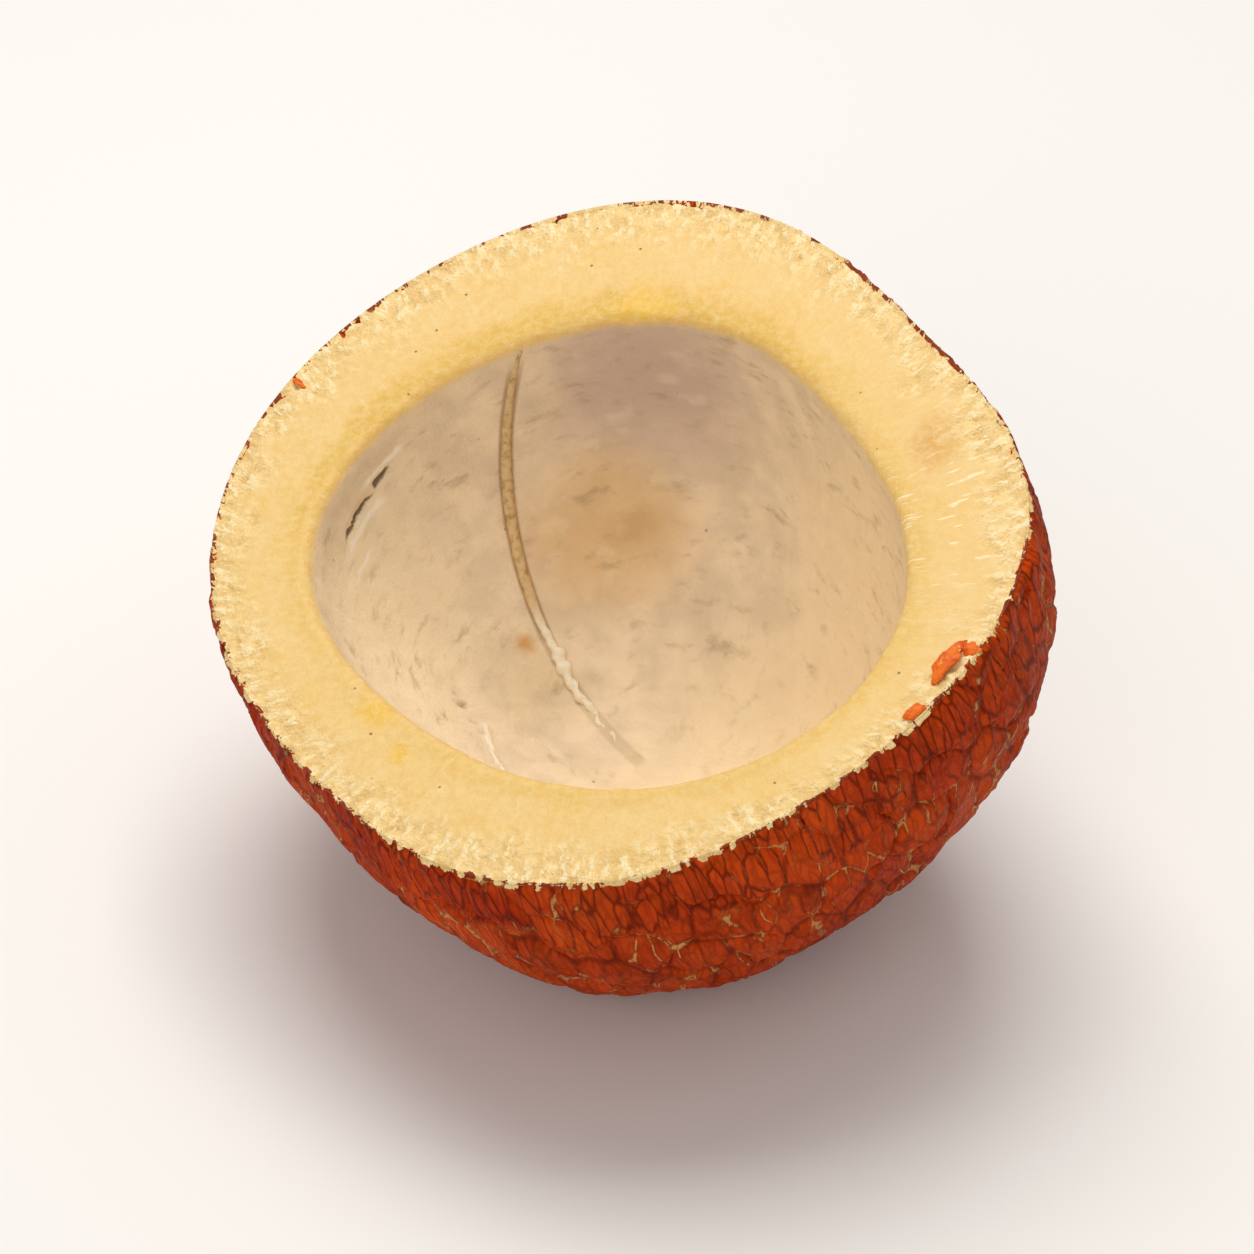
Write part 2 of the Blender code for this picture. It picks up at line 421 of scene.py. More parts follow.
class Bench:
    """A node tree, for a material or for relief, with short ways to fill it."""

    def __init__(self, tree: bpy.types.NodeTree) -> None:
        """Takes the tree to work on.

        Args:
            tree: A shader or geometry node tree.
        """
        self.tree = tree
        self.shading = tree.bl_idname == "ShaderNodeTree"
        self.kept: dict[str, tuple[Kind, Socket]] = {}

    def add(self, kind: str, sockets: dict | None = None, **settings: object) -> bpy.types.Node:
        """Adds a node.

        Args:
            kind: The node's type.
            sockets: What each input gets, a value or another node's output, by name or number.
            settings: The node's own settings.

        Returns:
            The new node.
        """
        node = self.tree.nodes.new(kind)
        for key, value in settings.items():
            setattr(node, key, value)
        for key, value in (sockets or {}).items():
            self.feed(node.inputs[key], value)
        return node

    def feed(self, target: Socket, value: object) -> None:
        """Gives an input a value or a link.

        Args:
            target: The input.
            value: A value, or the output to link.
        """
        if isinstance(value, bpy.types.NodeSocket):
            self.tree.links.new(value, target)
        else:
            target.default_value = value

    def stored(self, name: str, kind: Kind = Kind.NUMBER) -> Socket:
        """Reads an attribute of the mesh.

        Args:
            name: The attribute's name.
            kind: What it holds.

        Returns:
            The output that gives it.
        """
        if self.shading:
            output = {Kind.NUMBER: "Fac", Kind.VECTOR: "Vector", Kind.COLOUR: "Color"}[kind]
            return self.add("ShaderNodeAttribute", attribute_name=name).outputs[output]
        inputs = {"Name": name}
        return self.add("GeometryNodeInputNamedAttribute", inputs, data_type=kind.value).outputs[0]

    def once(self, name: str, build: Callable[[], Socket], kind: Kind = Kind.NUMBER) -> Socket:
        """Works a coarse field out on the mesh, so that the material only has to read it.

        Args:
            name: The attribute's name.
            build: Builds the field.
            kind: What the field holds.

        Returns:
            The field: built in a tree for relief, read in a material.
        """
        if self.shading:
            return self.stored(name, kind)
        field = build()
        self.kept[name] = (kind, field)
        return field

    def math(self, operation: str, first: object, second: object = 0.0, third: object = 0.0) -> Socket:
        """Adds a Math node.

        Args:
            operation: Its operation.
            first: Its first input.
            second: Its second input.
            third: Its third input.

        Returns:
            The result.
        """
        return self.add("ShaderNodeMath", {0: first, 1: second, 2: third}, operation=operation).outputs[0]

    def total(self, *terms: object) -> Socket:
        """Adds up any number of values.

        Args:
            terms: The values or outputs.

        Returns:
            Their sum.
        """
        result = terms[0]
        for term in terms[1:]:
            result = self.math("ADD", result, term)
        return result

    def product(self, *terms: object) -> Socket:
        """Multiplies any number of values.

        Args:
            terms: The values or outputs.

        Returns:
            Their product.
        """
        result = terms[0]
        for term in terms[1:]:
            result = self.math("MULTIPLY", result, term)
        return result

    def flip(self, value: object) -> Socket:
        """Returns 1 less the value."""
        return self.math("SUBTRACT", 1.0, value)

    def vector(self, operation: str, first: object, second: object = (0.0, 0.0, 0.0)) -> bpy.types.Node:
        """Adds a Vector Math node.

        Args:
            operation: Its operation.
            first: Its first input.
            second: Its second input.

        Returns:
            The node.
        """
        return self.add("ShaderNodeVectorMath", {0: first, 1: second}, operation=operation)

    def stretch(self, place: Socket, factors: Triple) -> Socket:
        """Stretches a place along its axes.

        Args:
            place: The place to read.
            factors: The stretch along each axis.

        Returns:
            The stretched place.
        """
        return self.vector("MULTIPLY", place, factors).outputs[0]

    def step(self, value: object, low: float, high: float, bottom: float = 0.0, top: float = 1.0) -> Socket:
        """Rises or falls softly between two values.

        Args:
            value: What to read.
            low: Where the change begins.
            high: Where it ends.
            bottom: The result before it.
            top: The result after it.

        Returns:
            The result.
        """
        inputs = {0: value, 1: low, 2: high, 3: bottom, 4: top}
        return self.add("ShaderNodeMapRange", inputs, interpolation_type="SMOOTHSTEP").outputs[0]

    def noise(self, place: Socket, size: float, detail: float = 3.0, rough: float = 0.55) -> Socket:
        """Adds cloudy noise.

        Args:
            place: Where to read it, in millimetres.
            size: How large its clouds are, in millimetres.
            detail: How many finer layers it has.
            rough: How strong those are.

        Returns:
            The noise, from 0 to 1.
        """
        inputs = {"Vector": place, "Scale": 1.0 / size, "Detail": detail, "Roughness": rough}
        return self.add("ShaderNodeTexNoise", inputs).outputs[0]

    def stray(self, place: Socket, size: float, reach: float) -> Socket:
        """Pushes a place about, so that what is read there gets wavy.

        Args:
            place: The place, in millimetres.
            size: How large the waves are, in millimetres.
            reach: How far they push, in millimetres.

        Returns:
            The pushed place.
        """
        cloud = self.add("ShaderNodeTexNoise", {"Vector": place, "Scale": 1.0 / size, "Detail": 2.0})
        centred = self.vector("SUBTRACT", cloud.outputs[1], (0.5, 0.5, 0.5)).outputs[0]
        pushed = self.vector("MULTIPLY", centred, (2.0 * reach,) * 3).outputs[0]
        return self.vector("ADD", place, pushed).outputs[0]

    def cracks(self, place: Socket, size: float, scatter: float = 1.0) -> Socket:
        """Measures how far a place lies from the border of its cell.

        Args:
            place: The place, in millimetres.
            size: How large the cells are, in millimetres.
            scatter: How unevenly they lie, from 0 to 1.

        Returns:
            The distance to the border, in millimetres.
        """
        inputs = {"Vector": place, "Scale": 1.0 / size, "Randomness": scatter}
        cells = self.add("ShaderNodeTexVoronoi", inputs, feature="DISTANCE_TO_EDGE")
        return self.math("MULTIPLY", cells.outputs["Distance"], size)

    def dots(self, place: Socket, size: float, radius: float, empty: float = 0.62) -> Socket:
        """Scatters small round dots.

        Args:
            place: The place, in millimetres.
            size: How far apart they lie, in millimetres.
            radius: How wide they are, in millimetres.
            empty: Cells whose random number is not above this have no dot.

        Returns:
            1 in a dot and 0 outside.
        """
        cells = self.add("ShaderNodeTexVoronoi", {"Vector": place, "Scale": 1.0 / size}, feature="F1")
        lucky = self.math("GREATER_THAN", self.part_of(cells.outputs["Color"]), empty)
        near = self.step(cells.outputs["Distance"], 0.5 * radius / size, radius / size, 1.0, 0.0)
        return self.product(lucky, near)

    def part_of(self, colour: Socket) -> Socket:
        """Returns the first part of a colour or vector, as a number."""
        return self.add("ShaderNodeSeparateXYZ", {0: colour}).outputs[0]

    def blob(self, place: Socket, middle: Triple, radius: float, softness: float = 0.6) -> Socket:
        """Marks a soft patch round a point.

        Args:
            place: The place, in millimetres.
            middle: The patch's middle, in millimetres.
            radius: Its radius, in millimetres.
            softness: The share of the radius that fades.

        Returns:
            1 in the patch and 0 outside.
        """
        away = self.vector("DISTANCE", place, middle).outputs["Value"]
        return self.step(away, radius * (1.0 - softness), radius, 1.0, 0.0)

    def stroke(self, place: Socket, start: Triple, end: Triple, out: Triple, width: float) -> Socket:
        """Marks a thin line between two points of a surface, tapered at both ends.

        Args:
            place: The place, in millimetres.
            start: One end of the line.
            end: Its other end.
            out: A direction out of the surface, across which the line has no width.
            width: Half its width, in millimetres.

        Returns:
            1 on the line and 0 away from it.
        """
        run = Vector(end) - Vector(start)
        side = run.cross(Vector(out)).normalized()
        offset = self.vector("SUBTRACT", place, start).outputs[0]
        across = self.math("ABSOLUTE", self.vector("DOT_PRODUCT", offset, tuple(side)).outputs["Value"])
        share = tuple(run / run.length_squared)
        along = self.vector("DOT_PRODUCT", offset, share).outputs["Value"]
        middle = tuple((Vector(start) + Vector(end)) / 2.0)
        near = self.blob(place, middle, run.length * 0.5 + 3.0, 0.5)
        ends = self.product(self.step(along, -0.05, 0.15), self.step(along, 0.85, 1.05, 1.0, 0.0))
        return self.product(self.step(across, width * 0.3, width, 1.0, 0.0), ends, near)

    def blend(self, share: object, first: object, second: object) -> Socket:
        """Mixes two colours.

        Args:
            share: How much of the second shows.
            first: The first colour, as a screen colour or an output.
            second: The second colour.

        Returns:
            The mixed colour.
        """
        node = self.add("ShaderNodeMix", {0: share}, data_type="RGBA")
        for target, colour in ((node.inputs[6], first), (node.inputs[7], second)):
            self.feed(target, linear(colour) if isinstance(colour, tuple) else colour)
        return node.outputs[2]


def cut_line(bench: Bench, place: Socket) -> Socket:
    """Finds where brown skin meets pale meat at the cut.

    Args:
        bench: The tree to build in.
        place: The place, in millimetres.

    Returns:
        How far the meat shows below the cut's edge, in millimetres, or if it is less than 0, how far
        the skin reaches in over the cut face.
    """
    drift = bench.once("drift", lambda: bench.math("MULTIPLY", bench.noise(place, 13.0, 1.0), 0.44))
    cloud = bench.noise(bench.stretch(place, (1.0, 1.0, 0.30)), 1.6, 3.0, 0.68)
    return bench.step(bench.math("ADD", cloud, drift), 0.63, 0.82, -0.24, 0.80)


def crumbly(bench: Bench, place: Socket, crumbs: Socket) -> Socket:
    """Colours torn meat: pale crumbs with clearer patches between them.

    Args:
        bench: The tree to build in.
        place: The place, in millimetres.
        crumbs: Fine noise that the crumbs follow.

    Returns:
        The colour.
    """
    cloud = bench.once("patches", lambda: bench.noise(place, 2.3, 2.0))
    patches = bench.total(cloud, bench.product(crumbs, 0.6))
    return bench.blend(bench.step(patches, 0.66, 0.92, 0.85, 0.0), TORN_PALE, TORN_CLEAR)


def press_relief(obj: bpy.types.Object, pattern: Callable[[Bench], Socket]) -> None:
    """Moves a surface in and out along its normals by a node pattern, and stores its coarse fields.

    Args:
        obj: The piece to change.
        pattern: Builds the pattern on a bench and returns its height, in millimetres.
    """
    tree = bpy.data.node_groups.new(f"{obj.name}_relief", "GeometryNodeTree")
    tree.interface.new_socket("Geometry", in_out="INPUT", socket_type="NodeSocketGeometry")
    tree.interface.new_socket("Geometry", in_out="OUTPUT", socket_type="NodeSocketGeometry")
    bench = Bench(tree)
    start = bench.add("NodeGroupInput")
    normal = bench.add("GeometryNodeInputNormal").outputs[0]
    height = bench.math("MULTIPLY", pattern(bench), MM)
    push = bench.add("ShaderNodeVectorMath", {0: normal, "Scale": height}, operation="SCALE")
    mesh = start.outputs[0]
    for name, (kind, field) in bench.kept.items():
        inputs = {"Geometry": mesh, "Name": name, "Value": field}
        mesh = bench.add("GeometryNodeStoreNamedAttribute", inputs, data_type=kind.value).outputs[0]
    moved = bench.add("GeometryNodeSetPosition", {"Geometry": mesh, "Offset": push.outputs[0]})
    end = bench.add("NodeGroupOutput")
    tree.links.new(moved.outputs[0], end.inputs[0])
    obj.modifiers.new("relief", "NODES").node_group = tree
    bake_modifiers(obj)


@dataclass(frozen=True)
class Finish:
    """What every finish has.

    Attributes:
        name: The material's name.
        rough: How matt it is.
    """

    name: str
    rough: float

    def start(self) -> tuple[bpy.types.Material, Bench, bpy.types.Node]:
        """Makes the material.

        Returns:
            The material, a bench on its tree, and its shader.
        """
        material = bpy.data.materials.new(self.name)
        material.use_nodes = True
        shader = material.node_tree.nodes["Principled BSDF"]
        shader.inputs["Roughness"].default_value = self.rough
        return material, Bench(material.node_tree), shader

    def bump(self, bench: Bench, shader: bpy.types.Node, height: Socket, strength: float) -> None:
        """Adds fine relief to the shading.

        Args:
            bench: The material's bench.
            shader: Its shader.
            height: The relief, in millimetres.
            strength: How strongly it shows.
        """
        inputs = {"Strength": strength, "Distance": MM, "Height": height}
        node = bench.add("ShaderNodeBump", inputs)
        bench.feed(shader.inputs["Normal"], node.outputs[0])


# The skin.


class SkinPattern:
    """The creases, ribs and torn edge of the skin, for its relief and its finish alike."""

    def __init__(self, bench: Bench) -> None:
        """Builds the pattern's nodes.

        Args:
            bench: The tree to build them in.
        """
        self.bench = bench
        self.grain = bench.stored("grain", Kind.VECTOR)
        self.place = bench.stored("place", Kind.VECTOR)
        self.below = bench.stored("below")
        self.strayed = bench.once("strayed", lambda: bench.stray(self.grain, 2.4, 0.75), Kind.VECTOR)
        self.rough = bench.noise(self.grain, 0.50, 2.0, 0.65)
        self.share = bench.total(bench.stored("share"), bench.math("MULTIPLY_ADD", self.rough, 0.22, -0.11))
        self.ribbing = bench.once("ribbing", self.rib_zone)
        self.crease = bench.cracks(bench.once("cells", self.cell_place, Kind.VECTOR), 1.0)
        self.torn = self.torn_edge()

    def rib_zone(self) -> Socket:
        """Marks the ragged belt below the rim where narrow ribs take the place of plates.

        Returns:
            1 in the belt and 0 outside.
        """
        bench = self.bench
        belt = bench.math("ADD", self.below, bench.product(bench.noise(self.place, 9.0, 1.0), -16.0))
        return bench.step(belt, 1.2, 1.8, 1.0, 0.0)

    def cell_place(self) -> Socket:
        """Stretches the cells of the creases: longer than wide, and narrow ribs below the rim.

        Returns:
            The place at which to read them.
        """
        bench = self.bench
        plates = bench.stretch(self.strayed, (0.44, 0.44, 0.22))
        upright = bench.stray(bench.stretch(self.place, (0.72, 0.72, 0.12)), 1.2, 0.30)
        inputs = {0: self.ribbing, 4: plates, 5: upright}
        return bench.add("ShaderNodeMix", inputs, data_type="VECTOR").outputs[1]

    def torn_edge(self) -> Socket:
        """Marks where the skin is torn off at the cut and the meat shows.

        Returns:
            1 where it is torn off and 0 elsewhere.
        """
        bench = self.bench
        reach = cut_line(bench, self.place)
        return bench.step(bench.math("SUBTRACT", self.below, reach), -0.10, 0.06, 1.0, 0.0)

    def relief(self) -> Socket:
        """Builds the skin's relief.

        Returns:
            How far the surface stands out, in millimetres.
        """
        bench = self.bench
        crease = bench.step(self.crease, 0.0, 0.30, -0.32, 0.0)
        deep = bench.step(bench.noise(self.grain, 7.0, 2.0), 0.34, 0.58, 0.35, 1.0)
        swell = bench.math("MULTIPLY_ADD", bench.noise(self.strayed, 1.5, 2.0), 0.30, -0.15)
        tear = bench.product(self.torn, -0.14)
        return bench.product(bench.stored("outside"), bench.total(bench.product(crease, deep), swell, tear))


@dataclass(frozen=True)
class SkinFinish(Finish):
    """Thin brown skin: waxy plates, creases darkened with painted shade, pale dry lines in some of them.

    Attributes:
        gloss: How strongly it mirrors.
        plate: Most plates.
        red: Redder plates.
        ochre: Lighter plates and mottles.
        dark: Stains, and the painted shade in the creases and grooves.
        black: The few deep cracks.
        line: The dry lines.
        back_middle: A point behind the nut, in millimetres, towards which the skin gets drier.
        back_radius: How far from that point it does, in millimetres.
    """

    name: str = "brown_skin"
    rough: float = 0.50
    gloss: float = 0.04
    plate: Triple = (198.0, 64.0, 11.0)
    red: Triple = (168.0, 43.0, 6.0)
    ochre: Triple = (210.0, 90.0, 19.0)
    dark: Triple = (84.0, 18.0, 3.0)
    black: Triple = (36.0, 19.0, 12.0)
    line: Triple = (204.0, 150.0, 88.0)
    back_middle: Triple = (8.0, 46.0, -20.0)
    back_radius: float = 84.0

    def prepare(self, bench: Bench) -> Socket:
        """Builds what is worked out on the mesh.

        Args:
            bench: A bench on a relief tree.

        Returns:
            The relief, in millimetres.
        """
        pattern = SkinPattern(bench)
        self.coarse(bench, pattern)
        crumbly(bench, pattern.place, pattern.rough)
        return pattern.relief()

    def coarse(self, bench: Bench, pattern: SkinPattern) -> tuple[Socket, Socket]:
        """Makes the fields that are coarse enough for the mesh.

        Args:
            bench: The bench.
            pattern: The skin's pattern.

        Returns:
            The ground colour, and how dry the creases are.
        """
        ground = bench.once("ground", lambda: self.ground(bench, pattern), Kind.COLOUR)
        return ground, bench.once("dry", lambda: self.dryness(bench, pattern))

    def dryness(self, bench: Bench, pattern: SkinPattern) -> Socket:
        """Works out how dry the creases are: more so at the back of the nut than at its front.

        Args:
            bench: The bench.
            pattern: The skin's pattern.

        Returns:
            The dryness, about 0.5 on the whole.
        """
        back = bench.blob(pattern.place, self.back_middle, self.back_radius, 1.0)
        return bench.math("MULTIPLY_ADD", back, 0.07, bench.noise(pattern.strayed, 3.2, 2.0, 0.6))

    def material(self) -> bpy.types.Material:
        """Builds the material.

        Returns:
            The finished material.
        """
        material, bench, shader = self.start()
        pattern = SkinPattern(bench)
        fine = bench.cracks(bench.stretch(pattern.strayed, (1.0, 1.0, 0.34)), 0.85)
        colour, dry = self.coarse(bench, pattern)
        # Painted shade in the creases, grooves and wrinkles.
        colour = self.creases(bench, pattern, fine, colour)
        colour = self.lines(bench, pattern, dry, colour)
        colour = bench.blend(pattern.torn, colour, crumbly(bench, pattern.place, pattern.rough))
        bench.feed(shader.inputs["Base Color"], colour)
        matt = bench.step(pattern.rough, 0.3, 0.7, self.rough - 0.06, self.rough + 0.18)
        bench.feed(shader.inputs["Roughness"], matt)
        shader.inputs["Specular IOR Level"].default_value = self.gloss
        wrinkles = bench.step(fine, 0.0, 0.26, -0.12, 0.0)
        self.bump(bench, shader, bench.total(wrinkles, bench.product(pattern.rough, 0.20)), 0.9)
        return material

    def ground(self, bench: Bench, pattern: SkinPattern) -> Socket:
        """Colours the plates, each a little different.

        Args:
            bench: The bench.
            pattern: The skin's pattern.

        Returns:
            The colour.
        """
        cloud = bench.step(bench.noise(pattern.grain, 16.0, 2.0), 0.36, 0.66)
        colour = bench.blend(cloud, self.red, self.plate)
        tone = bench.step(bench.stored("tone"), 0.15, 0.95)
        colour = bench.blend(bench.product(tone, 0.35), colour, self.ochre)
        mottle = bench.step(bench.noise(pattern.strayed, 1.8, 3.0, 0.65), 0.48, 0.76)
        colour = bench.blend(bench.product(mottle, 0.4), colour, self.ochre)
        back = bench.blob(pattern.place, self.back_middle, self.back_radius, 1.0)
        colour = bench.blend(bench.product(back, 0.35), colour, self.ochre)
        stain = bench.step(bench.noise(pattern.strayed, 4.4, 3.0), 0.48, 0.76)
        return bench.blend(bench.product(stain, 0.35), colour, self.dark)

    def creases(self, bench: Bench, pattern: SkinPattern, fine: Socket, colour: Socket) -> Socket:
        """Paints shade into the creases, the grooves between the large plates and the fine wrinkles.

        Args:
            bench: The material's bench.
            pattern: The skin's pattern.
            fine: The distance to the nearest fine wrinkle, in millimetres.
            colour: The colour so far.

        Returns:
            The colour with painted shade in the creases.
        """
        # Painted shade: darker in the creases, along the grooves' sides and in the fine wrinkles.
        strength = bench.math("MULTIPLY_ADD", pattern.ribbing, 0.28, 0.46)
        crease = bench.product(bench.step(pattern.crease, 0.0, 0.12, 1.0, 0.0), strength)
        colour = bench.blend(crease, colour, self.dark)
        open_skin = bench.math("MULTIPLY_ADD", pattern.ribbing, -0.6, 1.0)
        groove = bench.step(pattern.share, 0.02, 0.15, 0.55, 0.0)
        colour = bench.blend(bench.product(groove, open_skin), colour, self.dark)
        wrinkle = bench.step(fine, 0.0, 0.16, 0.30, 0.0)
        return bench.blend(wrinkle, colour, self.dark)

    def lines(self, bench: Bench, pattern: SkinPattern, dry: Socket, colour: Socket) -> Socket:
        """Draws the dry crumbly lines that lie in part of the creases, some with a dark crack.

        Args:
            bench: The material's bench.
            pattern: The skin's pattern.
            dry: How dry the creases are.
            colour: The colour so far.

        Returns:
            The colour with pale lines.
        """
        broken = bench.step(pattern.rough, 0.38, 0.52, 0.15, 1.0)
        less = bench.math("MULTIPLY_ADD", pattern.ribbing, -0.05, dry)
        reach = bench.step(less, 0.44, 0.66, -0.03, 0.09)
        wide = bench.step(bench.math("SUBTRACT", pattern.share, reach), -0.03, 0.02, 1.0, 0.0)
        colour = bench.blend(bench.product(wide, broken, 0.85), colour, self.line)
        thin = bench.step(pattern.crease, 0.015, 0.05, 1.0, 0.0)
        some = bench.step(less, 0.52, 0.60)
        colour = bench.blend(bench.product(thin, some, broken, 0.8), colour, self.line)
        deep = bench.step(pattern.share, -0.02, 0.04, 1.0, 0.0)
        few = bench.step(dry, 0.60, 0.66)
        return bench.blend(bench.product(deep, few, 0.9), colour, self.black)


@dataclass
class Skin:
    """The brown skin: a thin closed shell with plates and with finer wrinkles on them.

    Attributes:
        form: The nut's form.
        resting: How the nut lies.
        finish: The skin's material.
        plates: How many plates a whole nut would have.
        scatter: How far their middles stray, as a share of their spacing.
        plate_stretch: How much longer than wide they are.
        shortest_border: Borders between plates that are shorter are closed up, in metres.
        longest_side: The longest side of a triangle, in metres.
        rise_share: The share of a plate over which it rises from its groove.
        groove: How deep the grooves are, in metres.
        crown: How high the plates' middles stand, in metres.
        swell: How high the slow swells are, in metres.
        border_wander: How far the borders wander, in metres.
        shell: How thick the skin is, in metres.
        calm_rim: How far below the cut the relief reaches its full height, in metres.
        lip_drop: How far the lip's outer edge lies below the cut, in metres.
        inner_lip_share: How many times as far its inner edge does.
        inner_rings: How many rings the inner side has.
        inner_sweep: How far round those reach down from the cut, in radians.
        seed: The seed of the plates' places and tones.
    """

    form: NutForm
    resting: Resting
    finish: SkinFinish
    plates: int = 860
    scatter: float = 0.30
    plate_stretch: float = 1.70
    shortest_border: float = 0.0010
    longest_side: float = 0.00071
    rise_share: float = 0.26
    groove: float = 0.0004
    crown: float = 0.0003
    swell: float = 0.00022
    border_wander: float = 0.0007
    shell: float = 0.0013
    calm_rim: float = 0.0022
    lip_drop: float = 0.00035
    inner_lip_share: float = 2.6
    inner_rings: int = 9
    inner_sweep: float = 1.62
    seed: int = 11

    def build(self) -> bpy.types.Object:
        """Makes and dresses the skin.

        Returns:
            The finished piece.
        """
        bm = self.cut_cells()
        fine_triangles(bm, self.longest_side / self.form.widest_radius)
        self.line_inside(bm)
        bmesh.ops.recalc_face_normals(bm, faces=bm.faces)
        piece = new_piece(bm, "brown_skin")
        self.shape(piece)
        press_relief(piece, self.finish.prepare)
        inside = read_floats(piece.data, "inner") > 0.5
        self.resting.lay(piece, np.where(inside, self.shell, 0.0))
        piece.data.materials.append(self.finish.material())
        return piece

    def centres(self) -> list[Vector]:
        """Spreads the plates' middles over a unit sphere.

        Returns:
            The middles, each a little out of place.
        """
        chance = random.Random(self.seed)
        spacing = math.sqrt(4.0 * math.pi / self.plates)
        golden = math.pi * (3.0 - math.sqrt(5.0))
        places = []
        for index in range(self.plates):
            height = 1.0 - (2 * index + 1) / self.plates
            ring = math.sqrt(1.0 - height * height)
            angle = index * golden
            even = Vector((ring * math.cos(angle), ring * math.sin(angle), height))
            stray = Vector([chance.uniform(-1.0, 1.0) for _ in range(3)]) * spacing * self.scatter
            places.append((even + stray).normalized())
        return places

    def cells(self) -> bpy.types.Mesh:
        """Makes the plates' outlines on a unit sphere.

        Returns:
            A mesh with one face a plate.
        """
        bm = bmesh.new()
        for centre in self.centres():
            bm.verts.new(centre)
        bmesh.ops.convex_hull(bm, input=bm.verts)
        guide = new_piece(bm, "plate_guide")
        tree = bpy.data.node_groups.new("cells_round_points", "GeometryNodeTree")
        tree.interface.new_socket("Geometry", in_out="INPUT", socket_type="NodeSocketGeometry")
        tree.interface.new_socket("Geometry", in_out="OUTPUT", socket_type="NodeSocketGeometry")
        bench = Bench(tree)
        start = bench.add("NodeGroupInput")
        dual = bench.add("GeometryNodeDualMesh", {"Mesh": start.outputs[0]})
        end = bench.add("NodeGroupOutput")
        tree.links.new(dual.outputs[0], end.inputs[0])
        guide.modifiers.new("cells", "NODES").node_group = tree
        bake_modifiers(guide)
        mesh = guide.data
        bpy.data.objects.remove(guide, do_unlink=True)
        return mesh

    def cut_cells(self) -> bmesh.types.BMesh:
        """Makes the half's plates on the unit sphere, each with a raised middle.

        Returns:
            The open half, with the layers share (0 at a border, 1 in a middle) and tone.
        """
        bm = bmesh.new()
        bm.from_mesh(self.cells())
        for vert in bm.verts:
            vert.co = Vector((vert.co.x, vert.co.y, vert.co.z * self.plate_stretch)).normalized()
        shortest = self.shortest_border / self.form.widest_radius
        bmesh.ops.collapse(bm, edges=[edge for edge in bm.edges if edge.calc_length() < shortest])
        share = bm.verts.layers.float.new("share")
        tone = bm.verts.layers.float.new("tone")
        chance = random.Random(self.seed)
        for vert in bm.verts:
            vert[share] = 0.0
            vert[tone] = 0.5
        for middle in bmesh.ops.poke(bm, faces=bm.faces[:])["verts"]:
            middle[share] = 1.0
            middle[tone] = chance.random()
        bmesh.ops.bisect_plane(
            bm,
            geom=bm.verts[:] + bm.edges[:] + bm.faces[:],
            dist=1e-6,
            plane_co=(0.0, 0.0, self.form.cut_height),
            plane_no=(0.0, 0.0, 1.0),
            clear_outer=True,
        )
        return bm

    def line_inside(self, bm: bmesh.types.BMesh) -> None:
        """Turns the open half into a closed shell: a lip, then rings down the inner side.

        Args:
            bm: The open half on the unit sphere. The layer inner gets 0 outside, 1 at the lip's
                inner edge and up to 2 at the bottom.
        """
        inner = bm.verts.layers.float.new("inner")
        rim = [edge for edge in bm.edges if edge.is_boundary]
        for ring in range(self.inner_rings + 1):
            grown = bmesh.ops.extrude_edge_only(bm, edges=rim)["geom"]
            rim = [item for item in grown if isinstance(item, bmesh.types.BMEdge)]
            for vert in (item for item in grown if isinstance(item, bmesh.types.BMVert)):
                depth = math.asin(self.form.cut_height) - ring / self.inner_rings * self.inner_sweep
                flat = Vector((vert.co.x, vert.co.y, 0.0)).normalized() * math.cos(depth)
                vert.co = Vector((flat.x, flat.y, math.sin(depth)))
                vert[inner] = 1.0 + ring / self.inner_rings
        bmesh.ops.contextual_create(bm, geom=rim)
        bmesh.ops.triangulate(bm, faces=bm.faces[:])

    def shape(self, piece: bpy.types.Object) -> None:
        """Stretches the unit sphere to the nut, with its plates and grooves.

        Args:
            piece: The skin on the unit sphere.
        """
        mesh = piece.data
        directions = unit_rows(coordinates(mesh))
        inside = read_floats(mesh, "inner") > 0.5
        wide = self.form.widest_radius
        from_cut = self.form.cut_height - directions[:, 2]
        wander = self.border_wander / wide
        waves = [ripple(directions, 0.16, seed) * wander for seed in (3, 5, 7)]
        push = np.column_stack(waves)
        push[:, 2] *= smooth_step(from_cut, 0.0, 0.06)
        push[inside] = 0.0
        directions = unit_rows(directions + push)
        points, normals = self.form.surface(directions)
        share = read_floats(mesh, "share")
        depth = 0.70 + 0.30 * ripple(directions, 0.30, 17)
        low = -self.groove * np.clip(depth, 0.25, 1.0) * (1.0 - smooth_step(share, 0.0, self.rise_share))
        high = self.crown * (1.0 - (1.0 - share) ** 2)
        swell = self.swell * ripple(directions, 0.22, 23)
        plates = low + high * (0.75 + 0.25 * ripple(directions, 0.5, 29)) + swell
        calm = 0.12 + 0.88 * smooth_step(from_cut * wide, 0.0, self.calm_rim)
        rise = np.where(inside, -self.shell, plates * calm)
        points += normals * rise[:, None]
        below = -points[:, 2] / MM
        drop = np.where(inside, self.inner_lip_share, 1.0) * self.lip_drop
        points[:, 2] -= drop * (1.0 - smooth_step(below, 0.0, 0.9))
        points[:, 2] = np.minimum(points[:, 2], 0.0)
        grain = unit_rows(directions * np.array((1.0, 1.0, 1.0 / self.plate_stretch)))
        store(mesh, "grain", grain * wide / MM)
        store(mesh, "place", points / MM)
        store(mesh, "below", np.maximum(below, 0.0))
        store(mesh, "outside", np.where(inside, 0.0, smooth_step(below, 0.0, 0.8)))
        set_coordinates(mesh, points)


# The meat.


class Zone(Enum):
    """The stretches of the meat's outline, in order from the hollow's bottom."""

    HOLLOW = 0
    ROUNDING = 1
    FACE = 2
    HIDDEN = 3


